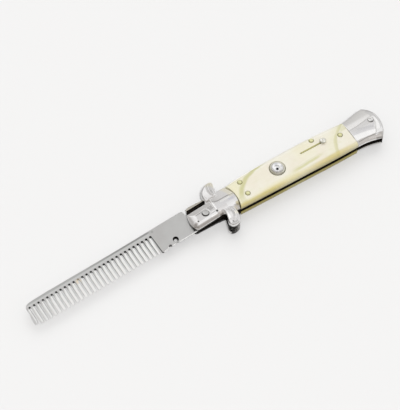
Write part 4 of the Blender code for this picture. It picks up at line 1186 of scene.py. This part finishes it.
def comb_loop(step_mm):
    runs = [BACK_EDGE, [(-9.75, 9.9), (-9.3, 9.4), (-9.15, 8.6), (-9.1, 7.0)]]
    runs.append(arc((0.0, 0.0), 6.9, 96, -38, step_mm))
    runs.append([(3.4, -5.15), (-9.0, -4.95), (-22.4, -5.0)])
    runs.append([(-25.0, -5.0), (-25.6, -4.8), (-26.0, -4.5), (-27.0, -4.45), (-27.6, -4.9), (-28.1, -5.2), (-31.0, -5.65)])
    for i in range(GAPS):
        left, x = gap_sides(i)
        half = (x - left) / 2
        if i == 0:
            runs.append([(x + 0.2, TIP_Y - 0.2), (x, TIP_Y + 0.1)])
        runs.append(arc((x - half, ROOT_Y - half), half, 0, 180, 0.14))
        if i < GAPS - 1:
            right = gap_sides(i + 1)[1]
            middle, w = (left + right) / 2, (left - right) / 2
            runs.append([(left, TIP_Y + 0.8), (middle + w * 0.75, TIP_Y + 0.3), (middle, TIP_Y + 0.08), (middle - w * 0.75, TIP_Y + 0.3), (right, TIP_Y + 0.8)])
    inner = gap_sides(GAPS - 1)[0]
    left = FIRST_GAP_X + GAP_SHIFT - TOOTH_PITCH * (GAPS - 1) - SLOT_WIDTH / 2
    runs.append([(inner, -1.0), (min(inner, left - 0.25), -2.8), (left - 0.55, -3.75), (left - 1.0, -4.18), (left - 1.7, -4.1), (left - 2.1, -3.4), (left - 1.35, 3.4)])
    return joined(step_mm, *runs)


PITS = [(FIRST_GAP_X - 0.04 - TOOTH_PITCH * i, PIT_Y) for i in range(GAPS)]


def comb_faces(side):
    flat = 6.10 if side > 0 else 4.70

    def height(x, y, d):
        back = column(BACK_EDGE, x, 1)
        zone = step(x, -31.5, -34.0)
        edge = 0.055 * np.clip(1.3 - (back - y), 0, 1.3) * zone
        tip = 0.34 * np.clip((-3.0 - y) / 2.4, 0, 1) ** 1.5 * step(x, -33.0, -33.3)
        lean = (0.042 * np.clip(5.0 - y, 0, None) + 0.06 * np.clip(5.4 - y, 0, 1.5)) * step(x, -32.9, -33.3)
        for i, (px, py) in enumerate(PITS):
            reach = PIT_R - PIT_SHRINK * i
            lean = lean + 0.30 * step(np.hypot(x - px, y - py), reach + 0.03, reach - 0.10)
        end = 0.05 * np.clip(8.5 - y, 0, 6) * step(x, -106.5, -109.0)
        return flat - side * (roll(d, 0.16, 0.12) + np.minimum(edge + tip + lean + end, 0.62))

    return height


def comb_punched(p):
    """The blade's small hole was punched from the front, so that it draws in towards the back."""
    p = np.array(p, float)
    away = p[:, :2] - np.array(HOLE[:2])
    r = np.hypot(away[:, 0], away[:, 1])
    pull = np.where(p[:, 2] < 5.4, 0.30 * np.clip((2.7 - r) / (2.7 - HOLE[2]), 0, 1), 0.0)
    p[:, :2] -= away * pull[:, None]
    return comb_place(p)


def comb():
    region = Region([comb_loop(0.42)], [circle(HOLE[0], HOLE[1], HOLE[2], 0.2), circle(0.0, 0.0, 1.75, 0.25)])
    rims = np.vstack([
        circle(px, py, r, 0.2) for i, (px, py) in enumerate(PITS)
        for r in (PIT_R - PIT_SHRINK * i + 0.03, PIT_R - PIT_SHRINK * i - 0.10, 0.25)
    ])
    made = plan_piece(
        "comb_blade_steel", region, comb_faces(1), comb_faces(-1), edge_rows(0.16, 3) + [0.32, 0.5], 1.0, comb_punched,
        both=True, sharp=30.0, least=0.06, extra=rims,
    )
    dress(made, steel, "comb", "comb_steel", "comb_blade")


comb()

# ---------------------------------------------------------------- lock spring


def spring():
    top = [(-7.25, 9.3), (-6.7, 9.6), (-5.6, 9.85), (-2.0, 9.95), (4.6, 9.6), (12.0, 8.95)]
    top += [(x, y - 0.15) for x, y in sampled(HANDLE, 1, 18.0, 94.0, 24)]
    top += [(x, y - 0.35) for x, y in sampled(REAR, 1, 100.0, 112.0, 6)]
    under = [(111.6, 7.6), (100.0, 6.9), (90.0, 7.0), (70.0, 7.4), (40.0, 7.3), (20.0, 6.9), (8.0, 7.7), (-6.0, 7.9), (-6.9, 8.05), (-7.35, 8.35)]
    region = Region([joined(0.6, top, under)])
    made = plan_piece(
        "lock_spring_bar", region, lambda x, y, d: 6.12 - roll(d, 0.35, 0.3), lambda x, y, d: 4.68 + roll(d, 0.35, 0.3),
        edge_rows(0.35, 4), 1.2, still, both=True,
    )
    dress(made, spring_steel, "handle", "spring_steel", "lock_spring")


spring()

# ---------------------------------------------------------------- turned pieces


ring_rows = (
    [(3.42, 10.7), (3.43, 11.3), (3.47, 11.42)] + [(3.6, 11.37), (3.85, 11.18), (4.08, 10.98), (4.3, 10.74), (4.42, 10.56), (4.47, 10.3), (4.47, 7.4), (3.42, 7.4)]
)
ring = turned("button_ring_turned", ring_rows, BUTTON, 96, closed=True, sharp=45)
dress(ring, ring_chrome_reflecting_ivory, "handle", "button_chrome", "button_ring")


def cap(radius, top, bend, count):
    """Rows of a high polished dome from its crown to its rim: the slope grows evenly with the radius."""
    r = radius * np.sin(np.linspace(0, math.pi / 2, count + 1))
    return [(float(k), float(top - k * k / (2 * bend))) for k in r]


def ball(radius, top, bend, count):
    """Rows of a spherical cap."""
    r = radius * np.sin(np.linspace(0, math.pi / 2, count + 1))
    return [(float(k), float(top - bend + math.sqrt(bend * bend - k * k))) for k in r]


dome = cap(2.55, 12.54, 9.0, 16) + [(2.75, 12.09), (2.95, 11.96), (3.15, 11.80), (3.32, 11.62), (3.36, 11.5), (3.36, 11.2), (3.25, 11.1), (3.25, 9.7), (2.1, 9.5), (2.1, 8.35), (0.0, 8.35)]


def dimpled_crown(points):
    """A small worn dimple beside the crown."""
    away = np.hypot(points[:, 0] - 48.3, points[:, 1] - 1.7)
    fall = 0.11 * (1 + np.cos(math.pi * np.clip(away / 0.55, 0, 1)))
    points[:, 2] -= np.where(points[:, 2] > 11.8, fall, 0.0)
    return points


button = turned("push_button_domed", dome, BUTTON, 96, touch=dimpled_crown)
dress(button, dimpled, "button", "button_chrome", "push_button")

knob_rows = cap(1.25, 12.29, 4.0, 10) + rounded(1.25, 12.09, 1.98, 11.2, 8)[1:] + [(1.96, 11.06), (1.75, 10.98), (0.34, 10.95), (0.34, 7.4), (0.0, 7.4)]
knob = turned("safety_knob_turned", knob_rows, KNOB, 72)
dress(knob, knob_chrome_reflecting_ivory, "safety", "button_chrome", "safety_knob")

for label, x, y in PINS:
    head = ball(1.30, 11.09, 1.62, 10) + [(1.35, 10.35), (1.34, 7.3), (0.0, 7.3)]
    pin = turned(f"brass_pin_{label}", head, (x, y), 40)
    dress(pin, brass, "handle", "pin_brass", f"scale_pin_{label}")
    foot = [(0.0, 10.62), (1.1, 10.61)] + rounded(1.1, 10.61, 1.34, 10.45, 3) + [(1.34, 7.3), (0.0, 7.3)]
    pin = turned(f"brass_pin_back_{label}", foot, (x, y), 40, flip=True)
    dress(pin, brass, "handle", "pin_brass", f"scale_pin_back_{label}")

head = [(0.0, 10.84)] + [(r, 10.84 - 0.02 * r * r) for r in (0.5, 0.9, 1.3)] + rounded(1.5, 10.79, 1.84, 10.5, 4)
pivot = turned(
    "pivot_rivet", head + [(1.84, 7.25), (1.45, 7.15), (1.45, 3.65), (1.84, 3.55), (1.84, 0.35), (1.6, 0.12), (0.0, 0.08)], (0.0, 0.0), 64,
)
dress(pivot, rivet, "handle", "rivet_nickel", "pivot_pin")

head = ball(1.15, 10.96, 7.0, 6) + rounded(1.2, 10.86, 1.62, 10.45, 7)[1:] + [(1.62, 7.3), (0.0, 7.3)]
dress(turned("rear_rivet_head", head, RIVET, 48), rear_rivet, "handle", "rivet_nickel", "rear_rivet_top")
foot = [(0.0, 10.7), (1.4, 10.69)] + rounded(1.4, 10.69, 1.68, 10.5, 3) + [(1.68, 7.3), (0.0, 7.3)]
dress(turned("rear_rivet_foot", foot, RIVET, 48, flip=True), rivet, "handle", "rivet_nickel", "rear_rivet_back")

for name in ("liner_top", "liner_back"):
    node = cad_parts[name]
    node.data.materials.clear()
    node.data.materials.append(liner)

# ---------------------------------------------------------------- floor, light and camera


def stage():
    bm = bmesh.new()
    bmesh.ops.create_grid(bm, x_segments=2, y_segments=2, size=3.0)
    mesh = bpy.data.meshes.new("floor")
    bm.to_mesh(mesh)
    bm.free()
    floor = bpy.data.objects.new("floor", mesh)
    floor.location = (0.0, 0.0, -0.00002)
    bpy.context.scene.collection.objects.link(floor)
    made, n, shader = principled("floor_paper", 0.0, specular=0.15)
    shader.inputs["Base Color"].default_value = (0.50, 0.50, 0.50, 1.0)
    shader.inputs["Roughness"].default_value = 0.8
    mesh.materials.append(made)


def surroundings():
    """A white tent seen from inside, by elevation and by bearing from the camera's line of sight.

    Brightest overhead and high on both sides, greyer low down and behind the camera, with thin
    shadowed seams, and a dark spot where the camera looks in.
    """
    world = bpy.data.worlds.new("studio")
    bpy.context.scene.world = world
    world.use_nodes = True
    n = Nodes(world.node_tree)
    background = world.node_tree.nodes["Background"]
    direction = n.vector("NORMALIZE", n.add("ShaderNodeTexCoord").outputs["Generated"])
    across = n.vector("DOT_PRODUCT", direction, (0.8508, -0.5255, 0.0))
    ahead = n.vector("DOT_PRODUCT", direction, (0.5255, 0.8508, 0.0))
    high_up = n.vector("DOT_PRODUCT", direction, (0.0, 0.0, 1.0))
    elevation = n.math("MULTIPLY", n.math("ARCSINE", high_up), 180 / math.pi)
    bearing = n.math("MULTIPLY", n.math("ARCTAN2", across, ahead), 180 / math.pi)
    tone = n.ramp(n.math("MULTIPLY", n.math("ADD", elevation, 10.0), 0.01), [
        (0.00, (0.66, 0.65, 0.64)), (0.10, (0.66, 0.65, 0.64)), (0.24, (0.61, 0.60, 0.585)), (0.33, (0.71, 0.70, 0.69)),
        (0.44, (0.90, 0.895, 0.89)), (0.52, (0.95, 0.945, 0.935)), (0.61, (0.86, 0.855, 0.85)), (0.70, (0.82, 0.815, 0.81)),
        (0.78, (0.93, 0.93, 0.93)), (0.88, (0.93, 0.93, 0.93)), (1.0, (0.97, 0.97, 0.97)),
    ])

    def zone(colour, e0, e1, a0, a1, fade_e=3.0, fade_a=5.0):
        nonlocal tone
        inside = n.math("MULTIPLY", n.range(elevation, e0 - fade_e, e0 + fade_e), n.range(elevation, e1 + fade_e, e1 - fade_e))
        side = n.math("MULTIPLY", n.range(bearing, a0 - fade_a, a0 + fade_a), n.range(bearing, a1 + fade_a, a1 - fade_a))
        tone = n.mix(n.math("MULTIPLY", inside, side), tone, colour)

    def behind(colour, e0, e1, fade_e=5.0):
        nonlocal tone
        inside = n.math("MULTIPLY", n.range(elevation, e0 - fade_e, e0 + fade_e), n.range(elevation, e1 + fade_e, e1 - fade_e))
        tone = n.mix(n.math("MULTIPLY", inside, n.range(ahead, -0.15, -0.27)), tone, colour)

    zone((0.80, 0.80, 0.79), 12, 48, 38, 112)
    zone((1.10, 1.10, 1.10), 52, 74, 36, 112)
    zone((0.61, 0.61, 0.605), 28, 46, 30, 39, 3.0, 3.0)
    zone((0.76, 0.755, 0.775), 60, 67, 9, 33, 2.0)
    zone((0.56, 0.545, 0.535), -20, 53, -190, -66)
    zone((1.08, 1.08, 1.08), 37, 70, -61, -15, 4.0)
    zone((0.46, 0.45, 0.44), 47.5, 55.0, -24, 20, 1.5)
    behind((0.60, 0.575, 0.55), 38, 66)
    behind((0.46, 0.435, 0.41), -20, 36)
    spot = n.vector("DOT_PRODUCT", direction, tuple(Vector((-0.255, -0.413, 0.874)).normalized()))
    tone = n.mix(n.range(spot, math.cos(math.radians(6.5)), math.cos(math.radians(4.0))), tone, (0.03, 0.03, 0.035))
    n.put(background.inputs["Color"], tone)
    background.inputs["Strength"].default_value = 1.0


def soft_lights():
    """Two broad lamps that only light the paper and the celluloid: one beside the camera, one beyond the piece."""
    for name, energy, angle, towards in (
        ("lamp_front", 3.15, 6, (-0.17, -0.42, 0.892)),
        ("lamp_beyond", 0.82, 45, (0.34, 0.56, 0.76)),
    ):
        data = bpy.data.lights.new(name, "SUN")
        data.energy = energy
        data.angle = math.radians(angle)
        obj = bpy.data.objects.new(name, data)
        bpy.context.scene.collection.objects.link(obj)
        obj.rotation_euler = Vector(towards).normalized().to_track_quat("Z", "Y").to_euler()
        obj.visible_glossy = False


def camera():
    data = bpy.data.cameras.new("camera")
    data.sensor_fit = "AUTO"
    data.sensor_width = 36.0
    data.lens = 1353.1 / 410 * 36.0
    data.shift_x = 0.0
    data.shift_y = 15.5 / 410
    data.clip_start, data.clip_end = 0.05, 20.0
    obj = bpy.data.objects.new("camera", data)
    bpy.context.scene.collection.objects.link(obj)
    elevation, turn = math.radians(60.9526), math.radians(31.701)
    forward = Vector((math.cos(elevation) * math.sin(turn), math.cos(elevation) * math.cos(turn), -math.sin(elevation)))
    right = Vector((math.cos(turn), -math.sin(turn), 0.0))
    up = right.cross(forward)
    obj.matrix_world = Matrix((
        (right.x, up.x, -forward.x, CAMERA_AT[0]),
        (right.y, up.y, -forward.y, CAMERA_AT[1]),
        (right.z, up.z, -forward.z, CAMERA_AT[2]),
        (0.0, 0.0, 0.0, 1.0),
    ))
    bpy.context.scene.camera = obj


CAMERA_AT = (-0.19766, -0.30978, 0.65986)
stage()
surroundings()
soft_lights()
camera()
bpy.context.scene.view_settings.view_transform = "Standard"

bpy.context.view_layer.update()
